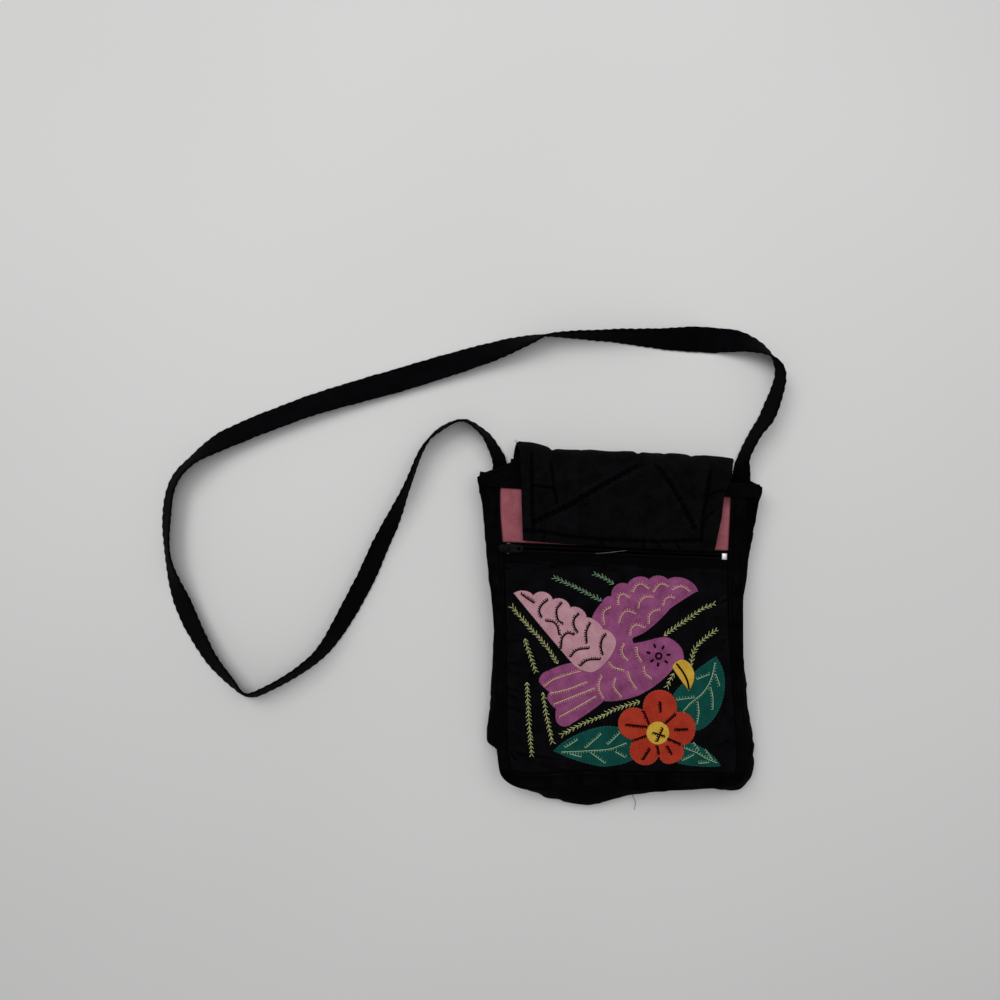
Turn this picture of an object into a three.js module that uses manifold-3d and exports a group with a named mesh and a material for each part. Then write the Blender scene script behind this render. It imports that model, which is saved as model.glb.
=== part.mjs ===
// Applique crossbody bag lying on its back, its strap loose beside it.
// Millimetres. +X runs along the zip, +Y towards the flap, +Z up out of the front.
import * as THREE from "three";
import ManifoldModule from "manifold-3d";

const kit = await ManifoldModule();
kit.setup();

// Heights of the sewn layers, from the floor up
const BACK_THICK = 2.4;
const WALL_THICK = 2.0;
const LAYER_GAP = 0.4;
const FRONT_UNDER = 20.8;
const FRONT_THICK = 1.8;
const FRONT_TOP = FRONT_UNDER + FRONT_THICK;
const WALL_FRONT_Z = FRONT_UNDER - LAYER_GAP - WALL_THICK / 2;
const WALL_BACK_Z = BACK_THICK + LAYER_GAP + WALL_THICK / 2;

// Body seams
const SEAM_GAP = 0.3;
const BORDER_LAP = 0.6;
const BACK_MARGIN = 3.0;
const BACK_TOP_Y = 121.0;
const BODY_STEPS = 72;
const WALL_STEPS = 6;

// Front, from the zip up to the mouth
const PANEL_TOP_Y = 47.5;
const YOKE_BOTTOM_Y = 60.1;
const MOUTH_Y = 107.4;
const HEM_BOTTOM_Y = 98.4;
const HEM_TOP_Y = 108.6;
const HEM_THICK = 1.2;
const HEM_LEFT_X = -100.4;
const HEM_RIGHT_X = 86.6;

// Zip
const ZIP_Y = 56.0;
const TAPE_LEFT_X = -95.0;
const TAPE_RIGHT_X = 84.0;
const TAPE_THICK = 0.7;
const TAPE_Z = FRONT_UNDER - LAYER_GAP - TAPE_THICK;
const TAPE_LOWER_Y = 44.0;
const TAPE_UPPER_Y = 66.0;
const SLOT_HALF = 0.55;
const TEETH_LEFT_X = -85.2;
const TEETH_RIGHT_X = 70.2;
const TEETH_WIDTH = 1.95;
const TEETH_Z = TAPE_Z + TAPE_THICK + 0.2;
const TEETH_TALL = 1.7;
const STOP_LENGTH = 3.6;
const STOP_HALF = 2.3;
const STOP_TALL = 2.1;

// Zip slider and pull
const SLIDER_X = -80.8;
const SLIDER_LENGTH = 8.5;
const SLIDER_HALF = 3.7;
const SLIDER_TAIL_HALF = 2.9;
const NOSE_X = -88.8;
const NOSE_HALF = 2.6;
const NOSE_LIFT = 0.3;
const PLATE_THICK = 1.2;
const FLANGE_WIDE = 0.7;
const POST_HALF = 0.25;
const PLATE_Z = TEETH_Z + TEETH_TALL + 0.3;
const PLATE_TOP = PLATE_Z + PLATE_THICK;
const KEEPER_Z = TAPE_Z - 1.6;
const ARCH_X = SLIDER_X - 3.0;
const ARCH_HALF = 2.4;
const ARCH_GAP_HALF = 1.5;
const ARCH_GAP_TALL = 1.6;
const ARCH_THICK = 0.9;
const ARCH_WIDE = 1.8;
const PULL_THICK = 0.9;
const PULL_LENGTH = 12.6;
const PULL_ROOT_HALF = 2.3;
const PULL_END_HALF = 2.8;
const PULL_SLOT_HALF = 1.35;
const PULL_SLOT_END = 3.6;
const PULL_HOLE_X = 9.6;
const PULL_HOLE_R = 1.2;
const PULL_Z = PLATE_TOP + ARCH_GAP_TALL / 2;

// Padded flap
const FLAP_THICK = 5.0;
const FLAP_RIM = 0.5;
const FLAP_SEAM = 0.62;
const FLAP_LAP_Y = 105.0;
const FLAP_TOP_Y = 129.2;
const FLAP_EAR = 4.4;
const FLAP_EAR_FROM = 0.03;
const FLAP_EAR_TO = 0.17;
const FLAP_DROOP = 2.0;
const FLAP_CORNER_LEFT = 2.2;
const FLAP_CORNER_RIGHT = 3.6;
const FLAP_CORNER_FADE = 0.06;
const FLAP_EDGE_Y = 59.4;
const FLAP_EDGE_RISE = 2.4;
const FLAP_LOW_Z = BACK_THICK + LAYER_GAP + FLAP_THICK * FLAP_RIM / 2 + 0.6;
const FLAP_HIGH_Z = FRONT_TOP + LAYER_GAP + HEM_THICK + LAYER_GAP + FLAP_THICK / 2;

// Shoulder strap
const STRAP_WIDE = 18.5;
const STRAP_THICK = 1.6;
const STRAP_END_WIDE = 12.4;
const STRAP_END_LIFT = 2.3;
const STRAP_END_RUN = 34.0;
const STRAP_STEPS = 132;

// Applique layers
const PATCH_THICK = 1.0;
const PATCH_GAP = 0.15;
const CENTER_X = 29.3;
const CENTER_Y = -70.9;
const CENTER_R = 8.1;

// Colours of the cloths and metals
const BLACK_CLOTH = 0x17171a;
const BLACK_BAND = 0x131316;
const PINK_CLOTH = 0xb5727f;
const PURPLE_CLOTH = 0x8a2a72;
const ROSE_CLOTH = 0xd990a8;
const RED_CLOTH = 0xc8392f;
const YELLOW_CLOTH = 0xd9a72c;
const TEAL_CLOTH = 0x1f7d6b;
const BLACK_NYLON = 0x101012;
const DARK_METAL = 0x2b2b2e;
const SILVER_METAL = 0xc3c5c8;

// Sections round the body, from the mouth's left corner down, along the bottom and up to its right corner.
// x, y: the front seam. border: width of the binding inside it. fold: how far the side wall folds out
// beyond the seam, and at what height. back: how far outside the seam the wall meets the back, and how far
// it rises towards the flap.
const BODY = [
  { place: "left mouth", x: -99.2, y: MOUTH_Y, border: 9.4, fold: 4.4, foldZ: 17, back: -20, rise: 11 },
  { place: "left yoke", x: -98.6, y: 83, border: 9.6, fold: 0.2, foldZ: 14, back: -13, rise: 4 },
  { place: "left zip", x: -95.6, y: PANEL_TOP_Y, border: 10.6, fold: -0.6, foldZ: 12, back: -7, rise: 0 },
  { place: "left waist", x: -89.5, y: 3, border: 7.6, fold: -0.2, foldZ: 12, back: -3, rise: 0 },
  { place: "left low", x: -86.3, y: -48, border: 6.8, fold: 3.4, foldZ: 10, back: 0, rise: 0 },
  { place: "left toe", x: -83.5, y: -84.4, border: 6.1, fold: 7.6, foldZ: 9, back: 2, rise: 0 },
  { place: "left heel", x: -82.7, y: -91, border: 6.3, fold: 1.4, foldZ: 9, back: -1, rise: 0 },
  { place: "left corner", x: -80, y: -106, border: 7.4, fold: -0.4, foldZ: 9, back: -2, rise: 0 },
  { place: "bottom left", x: -66.9, y: -114, border: 10.6, fold: 3.2, foldZ: 8, back: 1, rise: 0 },
  { place: "bottom bulge", x: -20, y: -113.6, border: 13.2, fold: 16.0, foldZ: 8, back: 6, rise: 0 },
  { place: "bottom middle", x: 16, y: -112.6, border: 13, fold: 7.8, foldZ: 8, back: 3, rise: 0 },
  { place: "bottom right", x: 60, y: -109.9, border: 11.4, fold: 2.8, foldZ: 8, back: 0, rise: 0 },
  { place: "right corner", x: 90.4, y: -103.8, border: 7.6, fold: 9.8, foldZ: 8, back: 3, rise: 0 },
  { place: "right toe", x: 92.8, y: -88, border: 5.8, fold: 10.2, foldZ: 9, back: 4, rise: 0 },
  { place: "right low", x: 89.8, y: -46.5, border: 6.5, fold: 5.6, foldZ: 10, back: 2, rise: 0 },
  { place: "right waist", x: 86.9, y: 10.8, border: 9.6, fold: 1.2, foldZ: 12, back: 0, rise: 0 },
  { place: "right zip", x: 85.9, y: PANEL_TOP_Y, border: 10.5, fold: 5.2, foldZ: 13, back: -2, rise: 0 },
  { place: "right yoke", x: 85.8, y: 83, border: 10.2, fold: 9.0, foldZ: 14, back: -7, rise: 4 },
  { place: "right mouth", x: 86.2, y: MOUTH_Y, border: 10.6, fold: 11.4, foldZ: 17, back: -10.8, rise: 11 },
];
const LEFT_ZIP_ROW = 2;
const RIGHT_ZIP_ROW = 16;

// Flap sides: how far down the flap, as a share from its fold to its lower edge, and its two edges there
const FLAP_SIDES = [
  { down: 0, left: -75.9, right: 74.0 },
  { down: 0.25, left: -74.6, right: 68.8 },
  { down: 0.55, left: -73.7, right: 67.6 },
  { down: 1, left: -71.8, right: 63.4 },
];

// Strap on the floor, from its left seam to its right seam. roll: turn about its own run, 0 lies flat
// and 90 stands on edge.
const STRAP = [
  { at: "left seam", x: -90.2, y: 105, roll: 31 },
  { at: "left mouth", x: -89.9, y: 116, roll: 35 },
  { at: "left rise", x: -94.9, y: 127.7, roll: 56 },
  { at: "left loop", x: -103.6, y: 139.2, roll: 75 },
  { at: "left loop top", x: -118.5, y: 147.2, roll: 83 },
  { at: "left loop far", x: -135.7, y: 139.1, roll: 78 },
  { at: "left run", x: -146.3, y: 126.6, roll: 88 },
  { at: "left run turn", x: -156.5, y: 98.7, roll: 96 },
  { at: "left run lean", x: -169.8, y: 65.8, roll: 120 },
  { at: "left run low", x: -193.1, y: 12.2, roll: 127 },
  { at: "left run end", x: -217.7, y: -28.8, roll: 112 },
  { at: "kink start", x: -252.3, y: -53.6, roll: 107 },
  { at: "kink", x: -267.4, y: -59.6, roll: 110 },
  { at: "kink end", x: -281, y: -49.4, roll: 126 },
  { at: "far low", x: -296.4, y: -33.4, roll: 138 },
  { at: "far flat", x: -317.8, y: 3, roll: 150 },
  { at: "far twist", x: -329.9, y: 40.2, roll: 122 },
  { at: "far side", x: -332, y: 68, roll: 129 },
  { at: "far bend", x: -328.4, y: 93.2, roll: 126 },
  { at: "far top", x: -315.5, y: 110.2, roll: 122 },
  { at: "top start", x: -293.3, y: 126, roll: 145 },
  { at: "top lean", x: -231.9, y: 153.5, roll: 153 },
  { at: "top flat", x: -157.9, y: 178.6, roll: 165 },
  { at: "top end", x: -99.3, y: 198.8, roll: 146 },
  { at: "top turn", x: -70.3, y: 208.7, roll: 117 },
  { at: "top twist", x: -60.1, y: 211.6, roll: 101 },
  { at: "right start", x: -41.7, y: 212.6, roll: 88 },
  { at: "right lean", x: -12.1, y: 213.1, roll: 74 },
  { at: "right run", x: 25, y: 212.6, roll: 50 },
  { at: "right flat", x: 62.2, y: 214.2, roll: 4 },
  { at: "right bend", x: 87.7, y: 212.4, roll: -34 },
  { at: "right twist", x: 105.6, y: 202.6, roll: -70 },
  { at: "right turn", x: 112, y: 188.6, roll: -94 },
  { at: "right drop", x: 103.6, y: 158.9, roll: -109 },
  { at: "right low", x: 94.9, y: 144.2, roll: -103 },
  { at: "right rise", x: 88.2, y: 128.8, roll: -110 },
  { at: "right mouth", x: 87.4, y: 116, roll: -146 },
  { at: "right seam", x: 88.2, y: 105, roll: -153 },
];

// Outlines of the sewn-on patches, clockwise. bow: how far the edge that ends at this corner stands out
// from the straight line to it.
const BIRD_BODY = [
  { x: 54.2, y: 30.8, bow: 4.6 },
  { x: 33.4, y: 17.2, bow: -0.5 },
  { x: 14.1, y: -0.6, bow: 2.4 },
  { x: 9.0, y: -6.2, bow: 0 },
  { x: 21.4, y: -4.6, bow: 0.6 },
  { x: 31.3, y: -2.8, bow: 0.5 },
  { x: 45.2, y: -12.9, bow: 2.4 },
  { x: 46.1, y: -18.6, bow: 0.3 },
  { x: 37.9, y: -26, bow: 0.4 },
  { x: 19.3, y: -42.4, bow: 1.2 },
  { x: -9.6, y: -49.9, bow: 2.2 },
  { x: -31.7, y: -66.4, bow: 1.0 },
  { x: -43.2, y: -65.5, bow: 2.4 },
  { x: -44.9, y: -57.7, bow: 0.3 },
  { x: -50.2, y: -50.1, bow: 0.8 },
  { x: -49, y: -43.6, bow: 0.6 },
  { x: -56.3, y: -38.2, bow: 0.8 },
  { x: -50.2, y: -30.1, bow: 1.8 },
  { x: -33.4, y: -23.8, bow: 0.8 },
  { x: -21.2, y: -7, bow: 0 },
  { x: -20.4, y: 8.7, bow: 0 },
  { x: -13.8, y: 21.8, bow: 1.0 },
  { x: -8.2, y: 25.6, bow: 1.2 },
  { x: 3.5, y: 35.3, bow: 2.8 },
  { x: 17.6, y: 38.7, bow: 2.2 },
  { x: 31.8, y: 39.2, bow: 2.0 },
];
const BIRD_WING = [
  { x: -76.5, y: 24, bow: 0.3 },
  { x: -63, y: 24.2, bow: 2.2 },
  { x: -48.3, y: 21.5, bow: 3.4 },
  { x: -35.6, y: 16.3, bow: 2.8 },
  { x: -24, y: 9.3, bow: 2.8 },
  { x: -12.3, y: 0.9, bow: 1.6 },
  { x: -2.7, y: -7.7, bow: 2.0 },
  { x: -18.9, y: -29.6, bow: 3.2 },
  { x: -33.4, y: -23.8, bow: 1.6 },
];
const BIRD_BEAK = [
  { x: 50.2, y: -39.8, bow: 0.8 },
  { x: 37.8, y: -23.9, bow: 0.3 },
  { x: 45.4, y: -18.3, bow: 1.6 },
  { x: 53.7, y: -29, bow: 2.2 },
];
const LEAF_RIGHT = [
  { x: 68.8, y: -15.6, bow: 2.4 },
  { x: 59.4, y: -67.9, bow: 11.3 },
  { x: 42.3, y: -67.2, bow: 1.0 },
  { x: 38.6, y: -45.2, bow: 1.5 },
];
const LEAF_LEFT = [
  { x: -43.8, y: -86.8, bow: 1.2 },
  { x: -3.2, y: -67.8, bow: 4.5 },
  { x: 17, y: -75.2, bow: 1.5 },
  { x: 17.5, y: -87.3, bow: 0.5 },
  { x: -12.1, y: -96.3, bow: 2.9 },
];
const LEAF_SMALL = [
  { x: 45.5, y: -76.3, bow: 0 },
  { x: 75, y: -92.9, bow: 4.2 },
  { x: 44, y: -92, bow: 1.4 },
];
// Each petal ends at this notch beside the centre. cheek: how far the petal swells past its notches.
const FLOWER = [
  { x: 18.4, y: -55.3, bow: 14.3, cheek: 3 },
  { x: 41.9, y: -55.8, bow: 15.0, cheek: 3 },
  { x: 46.3, y: -79.1, bow: 12.0, cheek: 2 },
  { x: 31, y: -88.2, bow: 8.7, cheek: 3 },
  { x: 11.4, y: -76.9, bow: 13.9, cheek: 2 },
];

function smooth(low, high, value) {
  return THREE.MathUtils.smoothstep(value, low, high);
}

function cloth(name, colour, roughness = 0.9) {
  return new THREE.MeshStandardMaterial({ name, color: colour, roughness, metalness: 0 });
}

function metal(name, colour, roughness) {
  return new THREE.MeshStandardMaterial({ name, color: colour, roughness, metalness: 1 });
}

// Six times the signed volume inside a geometry's faces
function signedVolume(position, index) {
  const corner = [new THREE.Vector3(), new THREE.Vector3(), new THREE.Vector3()];
  let sum = 0;
  for (let face = 0; face < index.length; face += 3) {
    corner.forEach((vertex, side) => vertex.fromArray(position, 3 * index[face + side]));
    sum += corner[0].dot(corner[1].cross(corner[2]));
  }
  return sum;
}

function closedGeometry(position, index) {
  const faces = signedVolume(position, index) < 0 ? index.toReversed() : index;
  const geometry = new THREE.BufferGeometry();
  geometry.setAttribute("position", new THREE.Float32BufferAttribute(position, 3));
  geometry.setIndex(faces);
  geometry.computeVertexNormals();
  return geometry;
}

// A closed body between two sheets of points, each asked for by side (+1, -1), column and row.
function twoSheets(pointAt, columns, rows) {
  const position = [];
  const index = [];
  const sheetSize = (columns + 1) * (rows + 1);
  const id = (side, column, row) => (side > 0 ? 0 : sheetSize) + column * (rows + 1) + row;
  const quad = (a, b, c, d) => index.push(a, b, c, a, c, d);
  for (const side of [1, -1]) {
    for (let column = 0; column <= columns; column += 1) {
      for (let row = 0; row <= rows; row += 1) {
        position.push(...pointAt(side, column, row).toArray());
      }
    }
  }
  for (let column = 0; column < columns; column += 1) {
    for (let row = 0; row < rows; row += 1) {
      quad(id(1, column, row), id(1, column + 1, row), id(1, column + 1, row + 1), id(1, column, row + 1));
      const next = column + 1;
      quad(id(-1, column, row + 1), id(-1, next, row + 1), id(-1, next, row), id(-1, column, row));
    }
  }
  for (let column = 0; column < columns; column += 1) {
    quad(id(-1, column, 0), id(-1, column + 1, 0), id(1, column + 1, 0), id(1, column, 0));
    quad(id(1, column, rows), id(1, column + 1, rows), id(-1, column + 1, rows), id(-1, column, rows));
  }
  for (let row = 0; row < rows; row += 1) {
    quad(id(1, 0, row), id(1, 0, row + 1), id(-1, 0, row + 1), id(-1, 0, row));
    quad(id(-1, columns, row), id(-1, columns, row + 1), id(1, columns, row + 1), id(1, columns, row));
  }
  return closedGeometry(position, index);
}

// A cloth wall of a given thickness on both sides of a middle surface of two shares from 0 to 1
function clothWall(surface, thickness, columnShares, rowShares) {
  const step = 1e-3;
  const slope = (u, v, du, dv) => {
    const ahead = surface(Math.min(u + du, 1), Math.min(v + dv, 1));
    return ahead.sub(surface(Math.max(u - du, 0), Math.max(v - dv, 0)));
  };
  const pointAt = (side, column, row) => {
    const u = columnShares[column];
    const v = rowShares[row];
    const normal = slope(u, v, step, 0).cross(slope(u, v, 0, step)).normalize();
    return surface(u, v).addScaledVector(normal, side * thickness(u, v) / 2);
  };
  return twoSheets(pointAt, columnShares.length - 1, rowShares.length - 1);
}

function evenShares(count) {
  return Array.from({ length: count + 1 }, (_, at) => at / count);
}

// A flat piece of the given outline between two heights
function slab(shape, low, high, curveSegments = 5) {
  const options = { depth: high - low, bevelEnabled: false, curveSegments };
  const geometry = new THREE.ExtrudeGeometry(shape, options);
  return geometry.translate(0, 0, low);
}

function boxBetween(x0, x1, y0, y1, z0, z1) {
  const geometry = new THREE.BoxGeometry(x1 - x0, y1 - y0, z1 - z0);
  return geometry.translate((x0 + x1) / 2, (y0 + y1) / 2, (z0 + z1) / 2);
}

function shapeThrough(points) {
  return new THREE.Shape(points.map((point) => new THREE.Vector2(point.x, point.y)));
}

// Body guides: each takes a share from 0 at the left mouth to 1 at the right mouth
const seamCurve = new THREE.CatmullRomCurve3(BODY.map((row) => new THREE.Vector3(row.x, row.y, 0)));
const foldColumns = new THREE.CatmullRomCurve3(
  BODY.map((row) => new THREE.Vector3(row.fold, row.foldZ, row.border)), false, "catmullrom", 0.3);
const backColumns = new THREE.CatmullRomCurve3(
  BODY.map((row) => new THREE.Vector3(row.back, row.rise, 0)), false, "catmullrom", 0.3);

function seamFrame(share) {
  const point = seamCurve.getPoint(share);
  const run = seamCurve.getTangent(share).normalize();
  const out = new THREE.Vector3(run.y, -run.x, 0);
  return { point, out };
}

function seamOffset(share, outward) {
  const { point, out } = seamFrame(share);
  return point.addScaledVector(out, outward);
}

function borderWidth(share) {
  return foldColumns.getPoint(share).z;
}

function backSeam(share, margin) {
  const back = backColumns.getPoint(share);
  const point = seamOffset(share, back.x + margin);
  point.y += back.y;
  return point;
}

// The side wall at a share round the body (u) and a share from the front seam to the back seam (v)
function wallPoint(u, v) {
  const front = seamOffset(u, 0).setZ(WALL_FRONT_Z);
  const back = backSeam(u, 0).setZ(WALL_BACK_Z);
  const columns = foldColumns.getPoint(u);
  const fold = seamOffset(u, columns.x).setZ(columns.y);
  const pull = fold.multiplyScalar(2).addScaledVector(front, -0.5).addScaledVector(back, -0.5);
  return new THREE.QuadraticBezierCurve3(front, pull, back).getPoint(v);
}

function gussetGeometry() {
  return clothWall(wallPoint, () => WALL_THICK, evenShares(BODY_STEPS), evenShares(WALL_STEPS));
}

function backGeometry() {
  const outline = evenShares(BODY_STEPS).map((share) => backSeam(share, BACK_MARGIN));
  const left = outline[0].clone().setY(BACK_TOP_Y);
  const right = outline[BODY_STEPS].clone().setY(BACK_TOP_Y);
  return slab(shapeThrough([left, ...outline, right]), 0, BACK_THICK);
}

function borderGeometry() {
  const flat = (u, v) => {
    const outward = THREE.MathUtils.lerp(-borderWidth(u), BORDER_LAP, v);
    return seamOffset(u, outward).setZ(FRONT_UNDER + FRONT_THICK / 2);
  };
  return clothWall(flat, () => FRONT_THICK, evenShares(BODY_STEPS), evenShares(1));
}

// The edge inside the binding, between two shares round the body
function fieldEdge(from, to, steps) {
  const between = (at) => THREE.MathUtils.lerp(from, to, at);
  return evenShares(steps).map((at) => seamOffset(between(at), -borderWidth(between(at)) - SEAM_GAP));
}

function panelGeometry() {
  const last = BODY.length - 1;
  const edge = fieldEdge(LEFT_ZIP_ROW / last, RIGHT_ZIP_ROW / last, BODY_STEPS - 8);
  return slab(shapeThrough(edge), FRONT_UNDER, FRONT_TOP);
}

// The stretch of an edge that lies above a height, ended on that height
function edgeAbove(edge, height) {
  const isAbove = (point) => point.y > height;
  const after = edge.findIndex((point, at) => at > 0 && isAbove(point) !== isAbove(edge[at - 1]));
  const [from, to] = [edge[after - 1], edge[after]];
  const end = from.clone().lerp(to, (height - from.y) / (to.y - from.y));
  const above = edge.filter(isAbove);
  return isAbove(from) ? [...above, end] : [end, ...above];
}

function yokeGeometry() {
  const last = BODY.length - 1;
  const left = edgeAbove(fieldEdge(0, LEFT_ZIP_ROW / last, 12), YOKE_BOTTOM_Y);
  const right = edgeAbove(fieldEdge(RIGHT_ZIP_ROW / last, 1, 12), YOKE_BOTTOM_Y);
  return slab(shapeThrough([...left, ...right]), FRONT_UNDER, FRONT_TOP);
}

// A folded band: one layer over the front's top edge and a lip down behind it
function hemGeometry() {
  const low = FRONT_TOP + LAYER_GAP;
  const high = low + HEM_THICK;
  const lip = HEM_TOP_Y - HEM_THICK + SEAM_GAP;
  const profile = new THREE.Shape();
  profile.moveTo(HEM_BOTTOM_Y, low);
  profile.lineTo(lip, low);
  profile.lineTo(lip, FRONT_UNDER);
  profile.lineTo(HEM_TOP_Y, FRONT_UNDER);
  profile.lineTo(HEM_TOP_Y, high);
  profile.lineTo(HEM_BOTTOM_Y, high);
  return alongX(profile, HEM_LEFT_X, HEM_RIGHT_X);
}

// A profile drawn in Y and Z, carried along X
function alongX(profile, from, to) {
  const options = { depth: to - from, bevelEnabled: false, curveSegments: 6 };
  const geometry = new THREE.ExtrudeGeometry(profile, options);
  const turn = new THREE.Matrix4().makeBasis(
    new THREE.Vector3(0, 1, 0), new THREE.Vector3(0, 0, 1), new THREE.Vector3(1, 0, 0));
  return geometry.applyMatrix4(turn).translate(from, 0, 0);
}

// A profile drawn in X and Z, carried across Y on both sides of the zip
function acrossZip(profile, wide) {
  const options = { depth: wide, bevelEnabled: false, curveSegments: 6 };
  const geometry = new THREE.ExtrudeGeometry(profile, options);
  const turn = new THREE.Matrix4().makeBasis(
    new THREE.Vector3(1, 0, 0), new THREE.Vector3(0, 0, 1), new THREE.Vector3(0, -1, 0));
  return geometry.applyMatrix4(turn).translate(0, ZIP_Y + wide / 2, 0);
}

// One row of zip coils as a rounded bar, on the side of the slot given by a sign
function teethGeometry(sign) {
  const inner = ZIP_Y + sign * SLOT_HALF;
  const outer = ZIP_Y + sign * (SLOT_HALF + TEETH_WIDTH);
  const top = TEETH_Z + TEETH_TALL;
  const profile = new THREE.Shape();
  profile.moveTo(inner, TEETH_Z);
  profile.lineTo(inner, top);
  profile.quadraticCurveTo(outer, top, outer, TEETH_Z);
  return alongX(profile, TEETH_LEFT_X, TEETH_RIGHT_X);
}

function toManifold(geometry) {
  const flat = geometry.index ? geometry.toNonIndexed() : geometry;
  const vertProperties = new Float32Array(flat.getAttribute("position").array);
  const triVerts = Uint32Array.from({ length: vertProperties.length / 3 }, (_, at) => at);
  const mesh = new kit.Mesh({ numProp: 3, vertProperties, triVerts });
  mesh.merge();
  return new kit.Manifold(mesh);
}

function fromManifold(solid) {
  const mesh = solid.getMesh();
  return closedGeometry(Array.from(mesh.vertProperties), Array.from(mesh.triVerts));
}

// Slider: a flanged plate over the teeth with a nose over the binding, a keeper plate under the tape and a
// thin post through the slot
function sliderGeometry() {
  const inside = SLIDER_HALF - FLANGE_WIDE;
  const flangeFoot = TEETH_Z + 0.2;
  const keeperTop = KEEPER_Z + 0.9;
  const keeperLip = TAPE_Z - 0.3;
  const half = [
    { y: POST_HALF, z: PLATE_Z },
    { y: inside, z: PLATE_Z },
    { y: inside, z: flangeFoot },
    { y: SLIDER_HALF, z: flangeFoot },
    { y: SLIDER_HALF, z: PLATE_TOP },
  ];
  const keeper = [
    { y: SLIDER_HALF, z: KEEPER_Z },
    { y: SLIDER_HALF, z: keeperLip },
    { y: inside, z: keeperLip },
    { y: inside, z: keeperTop },
    { y: POST_HALF, z: keeperTop },
  ];
  const rightSide = [...keeper, ...half];
  const leftSide = rightSide.toReversed().map((corner) => ({ y: -corner.y, z: corner.z }));
  const profile = new THREE.Shape(
    [...rightSide, ...leftSide].map((corner) => new THREE.Vector2(ZIP_Y + corner.y, corner.z)));
  const from = SLIDER_X - SLIDER_LENGTH / 2;
  const to = SLIDER_X + SLIDER_LENGTH / 2;
  const plan = new THREE.Shape();
  plan.moveTo(from, ZIP_Y);
  plan.quadraticCurveTo(from, ZIP_Y + SLIDER_HALF, SLIDER_X - 1, ZIP_Y + SLIDER_HALF);
  plan.lineTo(to, ZIP_Y + SLIDER_TAIL_HALF);
  plan.lineTo(to, ZIP_Y - SLIDER_TAIL_HALF);
  plan.lineTo(SLIDER_X - 1, ZIP_Y - SLIDER_HALF);
  plan.quadraticCurveTo(from, ZIP_Y - SLIDER_HALF, from, ZIP_Y);
  const shell = toManifold(alongX(profile, from, to));
  const shield = toManifold(slab(plan, KEEPER_Z - 1, PLATE_TOP + 1));
  const nose = new THREE.Shape();
  const bend = NOSE_X + NOSE_HALF;
  nose.moveTo(SLIDER_X - 1, ZIP_Y + NOSE_HALF);
  nose.lineTo(bend, ZIP_Y + NOSE_HALF);
  nose.absarc(bend, ZIP_Y, NOSE_HALF, Math.PI / 2, Math.PI * 1.5, false);
  nose.lineTo(SLIDER_X - 1, ZIP_Y - NOSE_HALF);
  const lip = toManifold(slab(nose, PLATE_Z + NOSE_LIFT, PLATE_TOP));
  return fromManifold(shell.intersect(shield).add(lip).add(toManifold(archGeometry())));
}

// The arch over the slider that holds the pull
function archGeometry() {
  const foot = PLATE_TOP - 0.3;
  const crown = PLATE_TOP + ARCH_GAP_TALL + ARCH_THICK;
  const gapTop = PLATE_TOP + ARCH_GAP_TALL;
  const profile = new THREE.Shape();
  profile.moveTo(ARCH_X - ARCH_HALF, foot);
  profile.lineTo(ARCH_X - ARCH_HALF, gapTop);
  profile.quadraticCurveTo(ARCH_X - ARCH_HALF, crown, ARCH_X - ARCH_GAP_HALF, crown);
  profile.lineTo(ARCH_X + ARCH_GAP_HALF, crown);
  profile.quadraticCurveTo(ARCH_X + ARCH_HALF, crown, ARCH_X + ARCH_HALF, gapTop);
  profile.lineTo(ARCH_X + ARCH_HALF, foot);
  profile.lineTo(ARCH_X + ARCH_GAP_HALF, foot);
  profile.lineTo(ARCH_X + ARCH_GAP_HALF, gapTop);
  profile.lineTo(ARCH_X - ARCH_GAP_HALF, gapTop);
  profile.lineTo(ARCH_X - ARCH_GAP_HALF, foot);
  return acrossZip(profile, ARCH_WIDE);
}

// Pull tab: a bar under the arch, two rails past it and a rounded grip with a hole
function pullGeometry() {
  const root = ARCH_X - PULL_THICK / 2;
  const tip = ARCH_X + PULL_LENGTH;
  const bend = tip - PULL_END_HALF;
  const tab = new THREE.Shape();
  tab.moveTo(root, ZIP_Y - PULL_ROOT_HALF);
  tab.lineTo(bend, ZIP_Y - PULL_END_HALF);
  tab.absarc(bend, ZIP_Y, PULL_END_HALF, -Math.PI / 2, Math.PI / 2, false);
  tab.lineTo(root, ZIP_Y + PULL_ROOT_HALF);
  const slot = new THREE.Path();
  slot.moveTo(ARCH_X + PULL_THICK / 2, ZIP_Y - PULL_SLOT_HALF);
  slot.lineTo(ARCH_X + PULL_THICK / 2, ZIP_Y + PULL_SLOT_HALF);
  slot.lineTo(ARCH_X + PULL_SLOT_END, ZIP_Y + PULL_SLOT_HALF);
  slot.lineTo(ARCH_X + PULL_SLOT_END, ZIP_Y - PULL_SLOT_HALF);
  const hole = new THREE.Path();
  hole.absarc(ARCH_X + PULL_HOLE_X, ZIP_Y, PULL_HOLE_R, 0, Math.PI * 2, true);
  tab.holes.push(slot, hole);
  return slab(tab, PULL_Z - PULL_THICK / 2, PULL_Z + PULL_THICK / 2);
}

// Flap side edges at a share down the flap
function flapSide(down, edge) {
  const next = Math.max(1, FLAP_SIDES.findIndex((row) => row.down >= down));
  const below = FLAP_SIDES[next];
  const above = FLAP_SIDES[next - 1];
  return THREE.MathUtils.mapLinear(down, above.down, below.down, above[edge], below[edge]);
}

// The flap's middle surface: u across it, v from its lap on the back, round its fold and down the front
const LAP_SHARE = 0.1;
const FOLD_SHARE = 0.42;

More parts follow.
